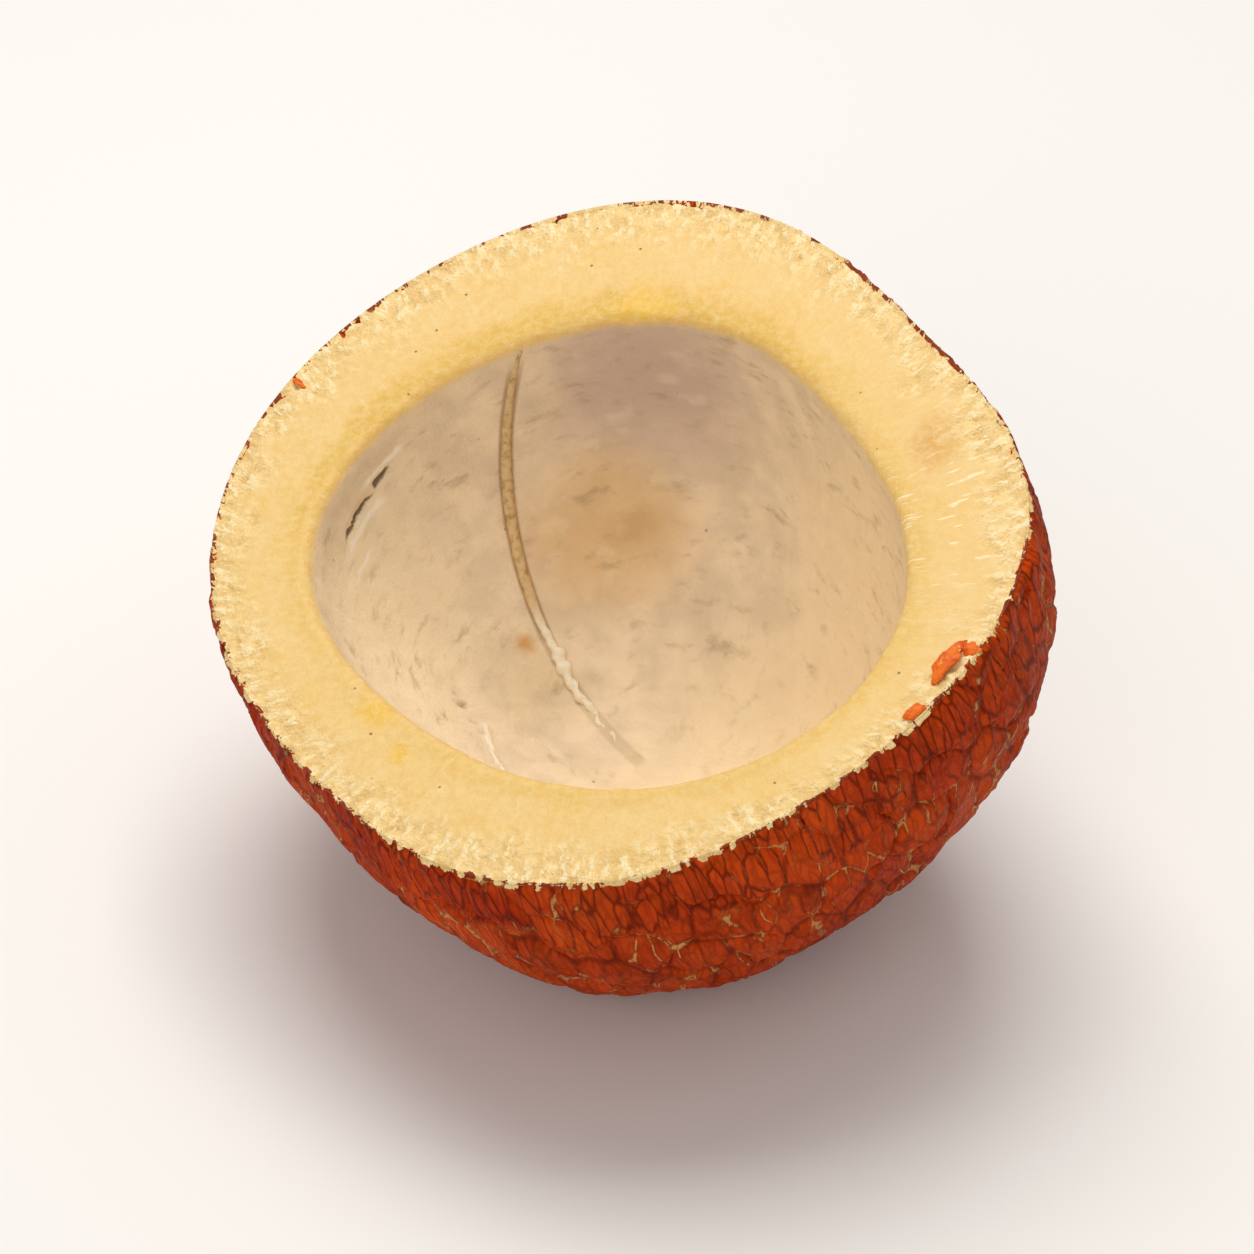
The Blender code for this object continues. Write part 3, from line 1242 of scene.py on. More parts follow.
class MeatPattern:
    """Relief and marks of the meat, for its shape and its finish alike."""

    def __init__(self, bench: Bench) -> None:
        """Builds the pattern's nodes.

        Args:
            bench: The tree to build them in.
        """
        self.bench = bench
        self.place = bench.stored("place", Kind.VECTOR)
        self.spokes = bench.stored("spokes", Kind.VECTOR)
        self.level = bench.stored("level")
        self.inset = bench.stored("inset")
        self.face = bench.step(self.level, 1.5, 2.02)
        self.outer = bench.once("outer", self.outer_band)
        self.wavy = bench.once("wavy", lambda: bench.stray(self.place, 1.5, 0.5), Kind.VECTOR)
        self.fibres = bench.noise(bench.stretch(self.spokes, (1.0, 1.0, 0.48)), 0.85, 2.0, 0.65)
        self.crumbs = bench.noise(self.place, 1.0, 3.0, 0.72)
        self.crack = self.crack_mark()
        self.pit = bench.once("pit", self.pit_mark)
        self.wiggle = self.wiggle_mark()

    def outer_band(self) -> Socket:
        """Marks the crumbly outer band of the cut face.

        Returns:
            1 in the band and 0 inside it.
        """
        bench = self.bench
        cloud = bench.math("MULTIPLY_ADD", bench.noise(self.place, 4.0, 3.0), 1.10, -0.55)
        return bench.step(bench.math("ADD", self.level, cloud), 2.45, 2.95)

    def crack_mark(self) -> Socket:
        """Marks the short dark crack in the left wall.

        Returns:
            1 in the crack and 0 outside.
        """
        bench = self.bench
        lower = bench.stroke(self.wavy, (-33.7, 8.3, -6.8), (-30.6, 14.6, -6.6), (1.0, -0.3, 0.0), 0.30)
        upper = bench.stroke(self.wavy, (-30.2, 15.0, -6.2), (-28.6, 17.6, -5.6), (1.0, -0.5, 0.0), 0.48)
        return bench.math("MAXIMUM", lower, upper)

    def pit_mark(self) -> Socket:
        """Marks the small pit, made of three patches.

        Returns:
            1 in the pit and 0 outside.
        """
        bench = self.bench
        first = bench.blob(self.wavy, (-24.6, -1.6, -28.0), 1.25, 0.5)
        second = bench.blob(self.wavy, (-23.5, -3.5, -28.9), 0.95, 0.5)
        third = bench.blob(self.wavy, (-25.4, -0.4, -27.0), 0.8, 0.5)
        return bench.math("MAXIMUM", bench.math("MAXIMUM", first, second), third)

    def wiggle_mark(self) -> Socket:
        """Marks the pale raised line that runs down from the pit.

        Returns:
            1 on the line and 0 away from it.
        """
        bench = self.bench
        first = bench.stroke(self.wavy, (-22.6, -3.0, -29.9), (-21.0, -8.0, -29.8), (1.0, 0.2, 1.0), 0.50)
        second = bench.stroke(self.wavy, (-21.4, -7.6, -29.6), (-18.4, -12.6, -29.4), (1.0, 0.5, 1.0), 0.42)
        return bench.math("MAXIMUM", first, second)

    def relief(self) -> Socket:
        """Builds the meat's relief.

        Returns:
            How far the surface stands out, in millimetres.
        """
        bench = self.bench
        edge = bench.step(self.inset, 0.0, 1.2, 0.3, 1.0)
        torn = bench.product(self.outer, edge, bench.step(self.fibres, 0.36, 0.60, -0.36, -0.02))
        crumbled = bench.product(self.outer, edge, bench.step(self.crumbs, 0.36, 0.60, -0.42, 0.0))
        sawn = bench.step(bench.noise(self.place, 4.0, 2.0), 0.3, 0.7, -0.16, -0.03)
        notch = bench.step(bench.noise(self.place, 1.3, 2.0, 0.7), 0.40, 0.58, -0.42, 0.0)
        notched = bench.product(bench.step(self.inset, 0.05, 0.9, 1.0, 0.0), notch)
        cut = bench.product(self.face, bench.total(torn, crumbled, sawn, notched))
        swell = bench.math("MULTIPLY_ADD", bench.noise(self.place, 6.0, 2.0), 0.60, -0.32)
        dents = bench.product(bench.step(bench.noise(self.place, 1.7, 2.0), 0.35, 0.48, 1.0, 0.0), -0.10)
        marks = bench.total(
            bench.product(self.crack, -0.55),
            bench.product(self.pit, -0.75),
            bench.product(self.wiggle, 0.28),
        )
        wall = bench.product(bench.flip(self.face), bench.total(swell, dents, marks))
        return bench.product(bench.stored("shown"), bench.total(cut, wall))


@dataclass(frozen=True)
class MeatFinish(Finish):
    """Dried meat: cream where it is cut, with a yellow inner edge and a greyer hollow.

    Attributes:
        gloss: How strongly it mirrors.
        cream: The cut face.
        yellow: Its inner band, rays and clouds.
        bright: Its fine grain.
        olive: The lip of the hollow.
        amber: The yellow patches on the ring.
        bruise: The brown patch on the ring's right.
        thread: Pale fibres in the torn outer band.
        shade: Painted shade in the hollows between those fibres.
        scratch: Pale scratches across the ring.
        skin: The thin line of skin along the edge.
        skin_dark: Dark grains in that line.
        ivory: The hollow's wall.
        grey: Clouds on the wall.
        painted_far_shade: Painted shade on the far side of the wall.
        painted_left_light: Painted light on the left of the wall.
        painted_near_and_right_light: Painted light on the near side and the right of the wall.
        tan: The wall behind the vein.
        moss: The wall low at the left.
        ochre: The spot in the tan.
        gold: The small stain beside the vein.
        smudge: Smudges on the wall.
        pale: Pale patches on the wall.
        speck: Dark specks.
        vein_side_shade: Painted shade along both sides of the vein.
        pit: The small pit.
        wiggle: The pale line below the pit.
        scrape: The scrapes beside the crack.
        crack: The short crack in the left wall.
    """

    name: str = "white_meat"
    rough: float = 0.50
    gloss: float = 0.24
    cream: Triple = (230.0, 195.0, 129.0)
    yellow: Triple = (228.0, 182.0, 92.0)
    bright: Triple = (240.0, 215.0, 158.0)
    olive: Triple = (212.0, 172.0, 76.0)
    amber: Triple = (232.0, 184.0, 66.0)
    bruise: Triple = (206.0, 148.0, 56.0)
    thread: Triple = (254.0, 238.0, 194.0)
    shade: Triple = (214.0, 172.0, 98.0)
    scratch: Triple = (252.0, 240.0, 204.0)
    skin: Triple = (168.0, 66.0, 16.0)
    skin_dark: Triple = (96.0, 30.0, 8.0)
    ivory: Triple = (240.0, 218.0, 186.0)
    grey: Triple = (220.0, 200.0, 172.0)
    # The next three colours are painted shade and painted light on the hollow's wall.
    painted_far_shade: Triple = (196.0, 173.0, 158.0)
    painted_left_light: Triple = (250.0, 230.0, 194.0)
    painted_near_and_right_light: Triple = (250.0, 226.0, 184.0)
    tan: Triple = (212.0, 172.0, 112.0)
    moss: Triple = (196.0, 170.0, 118.0)
    ochre: Triple = (188.0, 146.0, 80.0)
    gold: Triple = (204.0, 144.0, 52.0)
    smudge: Triple = (164.0, 140.0, 108.0)
    pale: Triple = (248.0, 232.0, 202.0)
    speck: Triple = (92.0, 60.0, 26.0)
    vein_side_shade: Triple = (146.0, 106.0, 60.0)
    pit: Triple = (120.0, 100.0, 68.0)
    wiggle: Triple = (252.0, 242.0, 218.0)
    scrape: Triple = (250.0, 242.0, 224.0)
    crack: Triple = (92.0, 72.0, 48.0)

    def prepare(self, bench: Bench) -> Socket:
        """Builds what is worked out on the mesh.

        Args:
            bench: A bench on a relief tree.

        Returns:
            The relief, in millimetres.
        """
        pattern = MeatPattern(bench)
        self.coarse(bench, pattern)
        return pattern.relief()

    def coarse(self, bench: Bench, pattern: MeatPattern) -> dict[str, Socket]:
        """Makes the fields that are coarse enough for the mesh.

        Args:
            bench: The bench.
            pattern: The meat's pattern.

        Returns:
            The fields by name.
        """
        place = pattern.place
        crumbly(bench, place, pattern.crumbs)
        cut_line(bench, place)
        builders = {
            "wall": (lambda: self.wall(bench, pattern), Kind.COLOUR),
            "cut": (lambda: self.cut_face(bench, pattern), Kind.COLOUR),
            "smeary": (lambda: bench.step(bench.noise(place, 8.0, 2.0), 0.4, 0.6, 0.15, 0.85), Kind.NUMBER),
            "scraped": (lambda: self.scraped(bench, place), Kind.NUMBER),
            "drawn": (lambda: self.drawn(bench, place), Kind.VECTOR),
            "light": (lambda: self.pale_patches(bench, place), Kind.NUMBER),
        }
        return {name: bench.once(name, build, kind) for name, (build, kind) in builders.items()}

    def drawn(self, bench: Bench, place: Socket) -> Socket:
        """Returns where to read the wall's smudges, which are drawn out round the hollow."""
        return bench.stretch(bench.stray(place, 3.0, 0.8), (0.36, 0.36, 1.0))

    def pale_patches(self, bench: Bench, place: Socket) -> Socket:
        """Returns where the wall has small paler patches."""
        return bench.step(bench.noise(self.drawn(bench, place), 1.9, 2.0), 0.56, 0.72)

    def material(self) -> bpy.types.Material:
        """Builds the material.

        Returns:
            The finished material.
        """
        material, bench, shader = self.start()
        pattern = MeatPattern(bench)
        fields = self.coarse(bench, pattern)
        wall = self.wall_marks(bench, pattern, fields)
        cut = self.cut_edge(bench, pattern, self.cut_marks(bench, pattern, fields))
        edge = bench.math("ADD", pattern.level, bench.product(pattern.crumbs, 0.4))
        colour = bench.blend(bench.step(edge, 1.15, 1.65), wall, cut)
        bench.feed(shader.inputs["Base Color"], colour)
        shader.inputs["Specular IOR Level"].default_value = self.gloss
        matt = bench.step(pattern.crumbs, 0.3, 0.7, self.rough - 0.10, self.rough + 0.14)
        bench.feed(shader.inputs["Roughness"], matt)
        self.bump(bench, shader, self.fine_relief(bench, pattern), 0.8)
        return material

    def fine_relief(self, bench: Bench, pattern: MeatPattern) -> Socket:
        """Builds the relief that is too fine for the mesh.

        Args:
            bench: The material's bench.
            pattern: The meat's pattern.

        Returns:
            The relief, in millimetres.
        """
        strength = bench.math("MULTIPLY_ADD", pattern.outer, 0.26, 0.09)
        return bench.product(bench.noise(pattern.place, 0.40, 1.0, 0.7), strength)

    def cut_face(self, bench: Bench, pattern: MeatPattern) -> Socket:
        """Colours the cut face, from its yellow inner band to its clearer middle.

        Args:
            bench: The bench.
            pattern: The meat's pattern.

        Returns:
            The colour.
        """
        place = pattern.place
        cloud = bench.step(bench.noise(place, 6.0, 3.0), 0.35, 0.68)
        colour = bench.blend(bench.product(cloud, 0.45), self.cream, self.yellow)
        band = bench.math("ADD", pattern.level, bench.product(bench.noise(place, 4.0, 2.0), 0.35))
        inner = bench.step(band, 2.12, 2.52, 1.0, 0.0)
        far = bench.step(bench.blob(place, (-8.0, 30.0, 0.0), 48.0, 0.6), 0.0, 1.0, 0.35, 0.90)
        colour = bench.blend(bench.product(inner, far), colour, self.yellow)
        lip = bench.product(bench.step(band, 1.75, 2.05), bench.step(band, 2.18, 2.42, 1.0, 0.0))
        colour = bench.blend(bench.product(lip, far, 0.90), colour, self.olive)
        patches = (((-23.7, -22.6, 0.0), 3.4), ((-20.7, -28.6, 0.0), 2.2), ((3.0, 31.0, 0.0), 5.0))
        for middle, radius in patches:
            patch = bench.blob(bench.stray(place, 2.0, 1.2), middle, radius, 0.8)
            colour = bench.blend(bench.product(patch, 0.8), colour, self.amber)
        squeezed = bench.stretch(bench.stray(place, 1.6, 1.6), (1.0, 0.7, 0.5))
        brown = bench.blob(squeezed, (37.0, 3.5, 0.0), 4.2, 0.8)
        return bench.blend(bench.product(brown, 0.65), colour, self.bruise)

    def scraped(self, bench: Bench, place: Socket) -> Socket:
        """Marks where pale scratches run across the ring.

        Args:
            bench: The bench.
            place: The place, in millimetres.

        Returns:
            1 where there are most and 0 where there are none.
        """
        cloud = bench.step(bench.noise(place, 7.0, 2.0), 0.48, 0.62)
        right = bench.blob(place, (40.0, -5.0, 0.0), 15.0, 0.7)
        return bench.math("MAXIMUM", bench.product(right, 0.85), bench.product(cloud, 0.22))

    def cut_marks(self, bench: Bench, pattern: MeatPattern, fields: dict[str, Socket]) -> Socket:
        """Adds the crumbly outer band with painted shade between its fibres, pale scratches and fine dark
        specks to the cut face.

        Args:
            bench: The material's bench.
            pattern: The meat's pattern.
            fields: The coarse fields.

        Returns:
            The colour with its marks.
        """
        grain = bench.step(pattern.crumbs, 0.36, 0.66)
        plain = bench.blend(bench.product(grain, 0.38), fields["cut"], self.bright)
        ray = bench.step(pattern.fibres, 0.34, 0.50, 0.22, 0.0)
        plain = bench.blend(ray, plain, self.yellow)
        outer = crumbly(bench, pattern.place, pattern.crumbs)
        thread = bench.step(pattern.fibres, 0.55, 0.59)
        outer = bench.blend(bench.product(thread, 0.75), outer, self.thread)
        # Painted shade in the hollows between the fibres.
        shaded = bench.step(pattern.fibres, 0.38, 0.45, 0.35, 0.0)
        outer = bench.blend(shaded, outer, self.shade)
        colour = bench.blend(bench.product(pattern.outer, 0.85), plain, outer)
        thin = bench.noise(bench.stretch(pattern.spokes, (1.0, 1.0, 0.20)), 0.7, 2.0, 0.6)
        streak = bench.product(bench.step(thin, 0.62, 0.68), fields["scraped"])
        colour = bench.blend(bench.product(streak, 0.75), colour, self.scratch)
        speck = bench.dots(pattern.place, 2.6, 0.24)
        return bench.blend(bench.product(speck, 0.75), colour, self.speck)

    def cut_edge(self, bench: Bench, pattern: MeatPattern, colour: Socket) -> Socket:
        """Adds the thin brown line of skin along the cut's outer edge.

        Args:
            bench: The material's bench.
            pattern: The meat's pattern.
            colour: The colour so far.

        Returns:
            The colour with the line.
        """
        reach = bench.math("ADD", pattern.inset, cut_line(bench, pattern.place))
        brown = bench.step(reach, -0.08, 0.08, 1.0, 0.0)
        shell = bench.blend(pattern.crumbs, self.skin, self.skin_dark)
        return bench.blend(brown, colour, shell)

    def wall(self, bench: Bench, pattern: MeatPattern) -> Socket:
        """Colours the hollow's wall: painted shade far off, tan behind the vein, painted light near, on the
        right and on the left.

        Args:
            bench: The bench.
            pattern: The meat's pattern.

        Returns:
            The colour.
        """
        place = bench.stray(pattern.place, 9.0, 3.0)
        cloud = bench.step(bench.noise(pattern.place, 5.0, 4.0), 0.32, 0.68)
        colour = bench.blend(cloud, self.ivory, self.grey)
        # Painted shade on the far side of the wall.
        colour = bench.blend(bench.blob(place, (2.0, 33.0, -9.0), 21.0, 0.8), colour, self.painted_far_shade)
        # Painted light on the left of the wall.
        left = bench.blob(place, (-31.0, 1.0, -17.0), 22.0, 0.9)
        colour = bench.blend(left, colour, self.painted_left_light)
        # Painted light on the near side of the wall.
        near = bench.blob(place, (12.0, -12.0, -34.0), 30.0, 0.75)
        colour = bench.blend(bench.product(near, 0.85), colour, self.painted_near_and_right_light)
        # Painted light on the right of the wall.
        right = bench.blob(place, (28.0, 2.0, -16.0), 27.0, 0.8)
        colour = bench.blend(bench.product(right, 0.9), colour, self.painted_near_and_right_light)
        tan = bench.blob(place, (-7.0, 20.0, -25.5), 14.0, 0.75)
        colour = bench.blend(bench.product(tan, 0.62), colour, self.tan)
        olive = bench.blob(place, (-17.5, 4.5, -33.5), 9.0, 0.9)
        colour = bench.blend(bench.product(olive, 0.35), colour, self.moss)
        gold = bench.blob(bench.stray(place, 3.0, 2.0), (-5.3, 21.4, -26.6), 4.5, 1.0)
        colour = bench.blend(bench.product(gold, 0.4), colour, self.ochre)
        stain = bench.blob(pattern.wavy, (-18.5, 9.1, -31.1), 1.9, 0.8)
        return bench.blend(bench.product(stain, 0.8), colour, self.gold)

    def wall_marks(self, bench: Bench, pattern: MeatPattern, fields: dict[str, Socket]) -> Socket:
        """Adds the wall's smudges, pit, crack and the painted shade along both sides of the vein.

        Args:
            bench: The material's bench.
            pattern: The meat's pattern.
            fields: The coarse fields.

        Returns:
            The colour with its marks.
        """
        smear = bench.step(bench.noise(fields["drawn"], 1.3, 3.0, 0.62), 0.50, 0.76, 0.0, 0.62)
        colour = bench.blend(bench.product(smear, fields["smeary"]), fields["wall"], self.smudge)
        colour = bench.blend(bench.product(fields["light"], 0.24), colour, self.pale)
        speck = bench.dots(pattern.place, 4.6, 0.26)
        colour = bench.blend(bench.product(speck, 0.5), colour, self.speck)
        # Painted shade along both sides of the raised vein.
        height = bench.vector("DOT_PRODUCT", pattern.place, VEIN_NORMAL).outputs["Value"]
        across = bench.math("ABSOLUTE", bench.math("SUBTRACT", height, VEIN_OFFSET / MM))
        vein_side_shade = bench.product(bench.step(across, 0.58, 0.98, 0.62, 0.0), bench.stored("vein_near"))
        colour = bench.blend(vein_side_shade, colour, self.vein_side_shade)
        colour = bench.blend(bench.product(pattern.pit, 0.75), colour, self.pit)
        colour = bench.blend(bench.product(pattern.wiggle, 0.8), colour, self.wiggle)
        streaks = self.light_streaks(bench, pattern.wavy)
        colour = bench.blend(bench.product(streaks, 0.8), colour, self.scrape)
        return bench.blend(bench.product(pattern.crack, 0.85), colour, self.crack)

    def light_streaks(self, bench: Bench, wavy: Socket) -> Socket:
        """Marks the pale scrapes beside the crack.

        Args:
            bench: The material's bench.
            wavy: The place with some waviness, in millimetres.

        Returns:
            1 in a scrape and 0 outside.
        """
        first = bench.stroke(wavy, (-33.5, 7.5, -8.0), (-29.5, 15.2, -8.2), (1.0, -0.3, 0.0), 0.6)
        second = bench.stroke(wavy, (-31.0, 14.0, -4.8), (-27.0, 19.8, -4.6), (1.0, -0.5, 0.0), 0.5)
        third = bench.stroke(wavy, (-33.8, 5.0, -10.8), (-32.0, 10.5, -11.2), (1.0, -0.2, 0.0), 0.4)
        return bench.math("MAXIMUM", bench.math("MAXIMUM", first, second), third)


@dataclass
class Meat:
    """The thick meat: its cut face and hollow, with a plain side hidden in the skin.

    Attributes:
        form: The nut's form.
        resting: How the nut lies.
        finish: The meat's material.
        vein_line: The vein's middle line, in the nut's frame.
        segments: How many sides each ring has.
        hollow_rings: How many rings the hollow's wall has.
        rounding_rings: How many its soft rim has.
        face_rings: How many the cut face has.
        hidden_rings: How many the hidden side has.
        bevel: The small bevel at the cut's edge, in metres.
        strip: How far below the edge the meat shows, in metres.
        proud: How far that strip stands out over the skin, in metres.
        hidden_depth: How far the hidden side lies below the nut's surface, in metres.
        vein_reach: How far from the vein the painted shade along its sides can reach, in millimetres.
    """

    form: NutForm
    resting: Resting
    finish: MeatFinish
    vein_line: Array
    segments: int = 640
    hollow_rings: int = 88
    rounding_rings: int = 7
    face_rings: int = 36
    hidden_rings: int = 12
    bevel: float = 0.00010
    strip: float = 0.00060
    proud: float = 0.00004
    hidden_depth: float = 0.00115
    vein_reach: float = 1.8

    def build(self) -> bpy.types.Object:
        """Makes and dresses the meat.

        Returns:
            The finished piece.
        """
        piece = new_piece(self.turned(), "white_meat")
        self.shape(piece)
        press_relief(piece, self.finish.prepare)
        points = coordinates(piece.data)
        points[:, 2] = np.minimum(points[:, 2], 0.0)
        set_coordinates(piece.data, points)
        self.resting.lay(piece, self.hidden_depth)
        piece.data.materials.append(self.finish.material())
        return piece

    def levels(self) -> list[float]:
        """Lists the rings of the turned shape.

        Returns:
            Each ring's level: its zone, and the share of the zone below it.
        """
        counts = {
            Zone.HOLLOW: self.hollow_rings,
            Zone.ROUNDING: self.rounding_rings,
            Zone.FACE: self.face_rings,
            Zone.HIDDEN: self.hidden_rings,
        }
        rings = [zone.value + step / count for zone, count in counts.items() for step in range(count)]
        return [*rings, Zone.HIDDEN.value + 1.0]

    def turned(self) -> bmesh.types.BMesh:
        """Turns a plain profile round the nut's axis.

        Returns:
            A closed round shape whose layer level tells which ring a vertex is on.
        """
        bm = bmesh.new()
        level = bm.verts.layers.float.new("level")
        rings = self.levels()
        profile = []
        for index, value in enumerate(rings):
            angle = math.pi * index / (len(rings) - 1)
            vert = bm.verts.new((math.sin(angle), 0.0, math.cos(angle)))
            vert[level] = value
            profile.append(vert)
        profile[0].co.x = 0.0
        profile[-1].co.x = 0.0
        edges = [bm.edges.new(pair) for pair in zip(profile, profile[1:])]
        bmesh.ops.spin(
            bm,
            geom=profile + edges,
            cent=(0.0, 0.0, 0.0),
            axis=(0.0, 0.0, 1.0),
            angle=2.0 * math.pi,
            steps=self.segments,
            use_merge=True,
        )
        bmesh.ops.remove_doubles(bm, verts=bm.verts, dist=WELD)
        return bm

    def shape(self, piece: bpy.types.Object) -> None:
        """Moves the turned shape's rings to the real outline.

        Args:
            piece: The round shape.
        """
        mesh = piece.data
        round_shape = coordinates(mesh)
        azimuth = np.arctan2(round_shape[:, 1], round_shape[:, 0])
        level = read_floats(mesh, "level")
        inner = self.hollow_ring(azimuth, level)
        outer = self.outer_ring(azimuth, level)
        share = np.clip(level - Zone.FACE.value, 0.0, 1.0)[:, None]
        points = inner * (1.0 - share) + outer * share
        set_coordinates(mesh, points)
        bm = bmesh.new()
        bm.from_mesh(mesh)
        bmesh.ops.recalc_face_normals(bm, faces=bm.faces)
        bm.to_mesh(mesh)
        bm.free()
        radius = np.hypot(points[:, 0], points[:, 1])
        wheel = self.form.edge.radius
        spokes = np.column_stack((wheel * np.cos(azimuth), wheel * np.sin(azimuth), radius)) / MM
        store(mesh, "place", points / MM)
        store(mesh, "spokes", spokes)
        inset = np.linalg.norm(outer - points, axis=1) / MM
        store(mesh, "inset", np.where(level > Zone.HIDDEN.value, points[:, 2] / MM, inset))
        below_edge = (level - Zone.HIDDEN.value) * self.hidden_rings
        store(mesh, "shown", 1.0 - smooth_step(below_edge, 0.0, 1.2))
        self.mark_vein(mesh, points)

    def hollow_ring(self, azimuth: Array, level: Array) -> Array:
        """Finds points of the hollow and of its soft rim.

        Args:
            azimuth: Each point's azimuth.
            level: Each point's level.

        Returns:
            The points, one a row.
        """
        form = self.form
        top = math.asin(form.rim_rounding / form.hollow_depth)
        share = np.clip(level, 0.0, 1.0)
        wall = form.hollow_wall(azimuth, top + (1.0 - share) * (math.pi / 2.0 - top))
        turn = np.clip(level - Zone.ROUNDING.value, 0.0, 1.0) * math.pi / 2.0
        flare = form.hollow.reach(azimuth) * math.cos(top) + form.rim_rounding * (1.0 - np.cos(turn))
        height = form.rim_rounding * (np.sin(turn) - 1.0)
        rim = np.column_stack((flare * np.cos(azimuth), flare * np.sin(azimuth), height))
        rim += np.array(form.hollow_shift)
        return np.where((level <= Zone.ROUNDING.value)[:, None], wall, rim)

    def outer_ring(self, azimuth: Array, level: Array) -> Array:
        """Finds points of the cut's outer edge and of the hidden side under the skin.

        Args:
            azimuth: Each point's azimuth.
            level: Each point's level.

        Returns:
            The points, one a row.
        """
        ring = np.clip(level - Zone.HIDDEN.value, 0.0, 1.0) * self.hidden_rings
        marks = (0.0, 1.0, 2.0, 3.0, self.hidden_rings)
        angle = math.asin(self.form.cut_height) + math.pi / 2.0
        down = np.array((0.0, self.bevel, self.strip, 1.5 * self.strip)) / (self.form.under_axis * angle)
        share = np.interp(ring, marks, (*down, 1.0))
        height = math.asin(self.form.cut_height) - share * angle
        flat = np.cos(height)
        directions = np.column_stack((flat * np.cos(azimuth), flat * np.sin(azimuth), np.sin(height)))
        points, normals = self.form.surface(directions)
        insets = (self.bevel, -self.proud, 0.0, self.hidden_depth, self.hidden_depth)
        inset = np.interp(ring, marks, insets)
        points -= normals * inset[:, None]
        points[:, 2] = np.where(ring > 0.0, np.minimum(points[:, 2], 0.0), 0.0)
        return points

    def mark_vein(self, mesh: bpy.types.Mesh, points: Array) -> None:
        """Stores which vertices lie beside the vein, for the painted shade along its sides.

        Args:
            mesh: The meat's mesh.
            points: Its vertices, in the nut's frame.
        """
        away = np.full(len(points), 1.0)
        for spot in self.vein_line:
            away = np.minimum(away, np.linalg.norm(points - spot, axis=1))
        away /= MM
        along = np.clip(-points[:, 2] / self.form.hollow_depth, 0.0, 1.0)
        fade = smooth_step(along, 0.03, 0.16) * (1.0 - 0.6 * smooth_step(along, 0.74, 0.86))
        store(mesh, "vein_near", fade * (1.0 - smooth_step(away, self.vein_reach, 1.6 * self.vein_reach)))


# The vein.


@dataclass(frozen=True)
class VeinFinish(Finish):
    """A dry tan strand that turns white and ragged near the hollow's bottom.

    Attributes:
        tan: Most of the strand.
        brown: Its mottles.
        white: Its ragged end.
        knot: The small dark knot in that end.
    """

    name: str = "dry_vein"
    rough: float = 0.55
    tan: Triple = (214.0, 184.0, 134.0)
    brown: Triple = (180.0, 144.0, 92.0)
    white: Triple = (242.0, 232.0, 208.0)
    knot: Triple = (110.0, 92.0, 60.0)

    def material(self) -> bpy.types.Material:
        """Builds the material.

        Returns:
            The finished material.
        """
        material, bench, shader = self.start()
        place = bench.stored("place", Kind.VECTOR)
        along = bench.stored("along")
        noise = bench.noise(place, 0.9, 2.0, 0.6)
        colour = bench.blend(bench.step(noise, 0.40, 0.70), self.tan, self.brown)
        end = bench.math("ADD", along, bench.product(noise, 0.10))
        colour = bench.blend(bench.step(end, 0.60, 0.74), colour, self.white)
        knot = bench.blob(bench.stray(place, 0.6, 0.3), (-14.6, 10.6, -32.4), 0.8, 0.5)
        colour = bench.blend(bench.product(knot, 0.8), colour, self.knot)
        bench.feed(shader.inputs["Base Color"], colour)
        self.bump(bench, shader, bench.product(bench.noise(place, 0.4, 2.0), 0.12), 0.7)
        return material


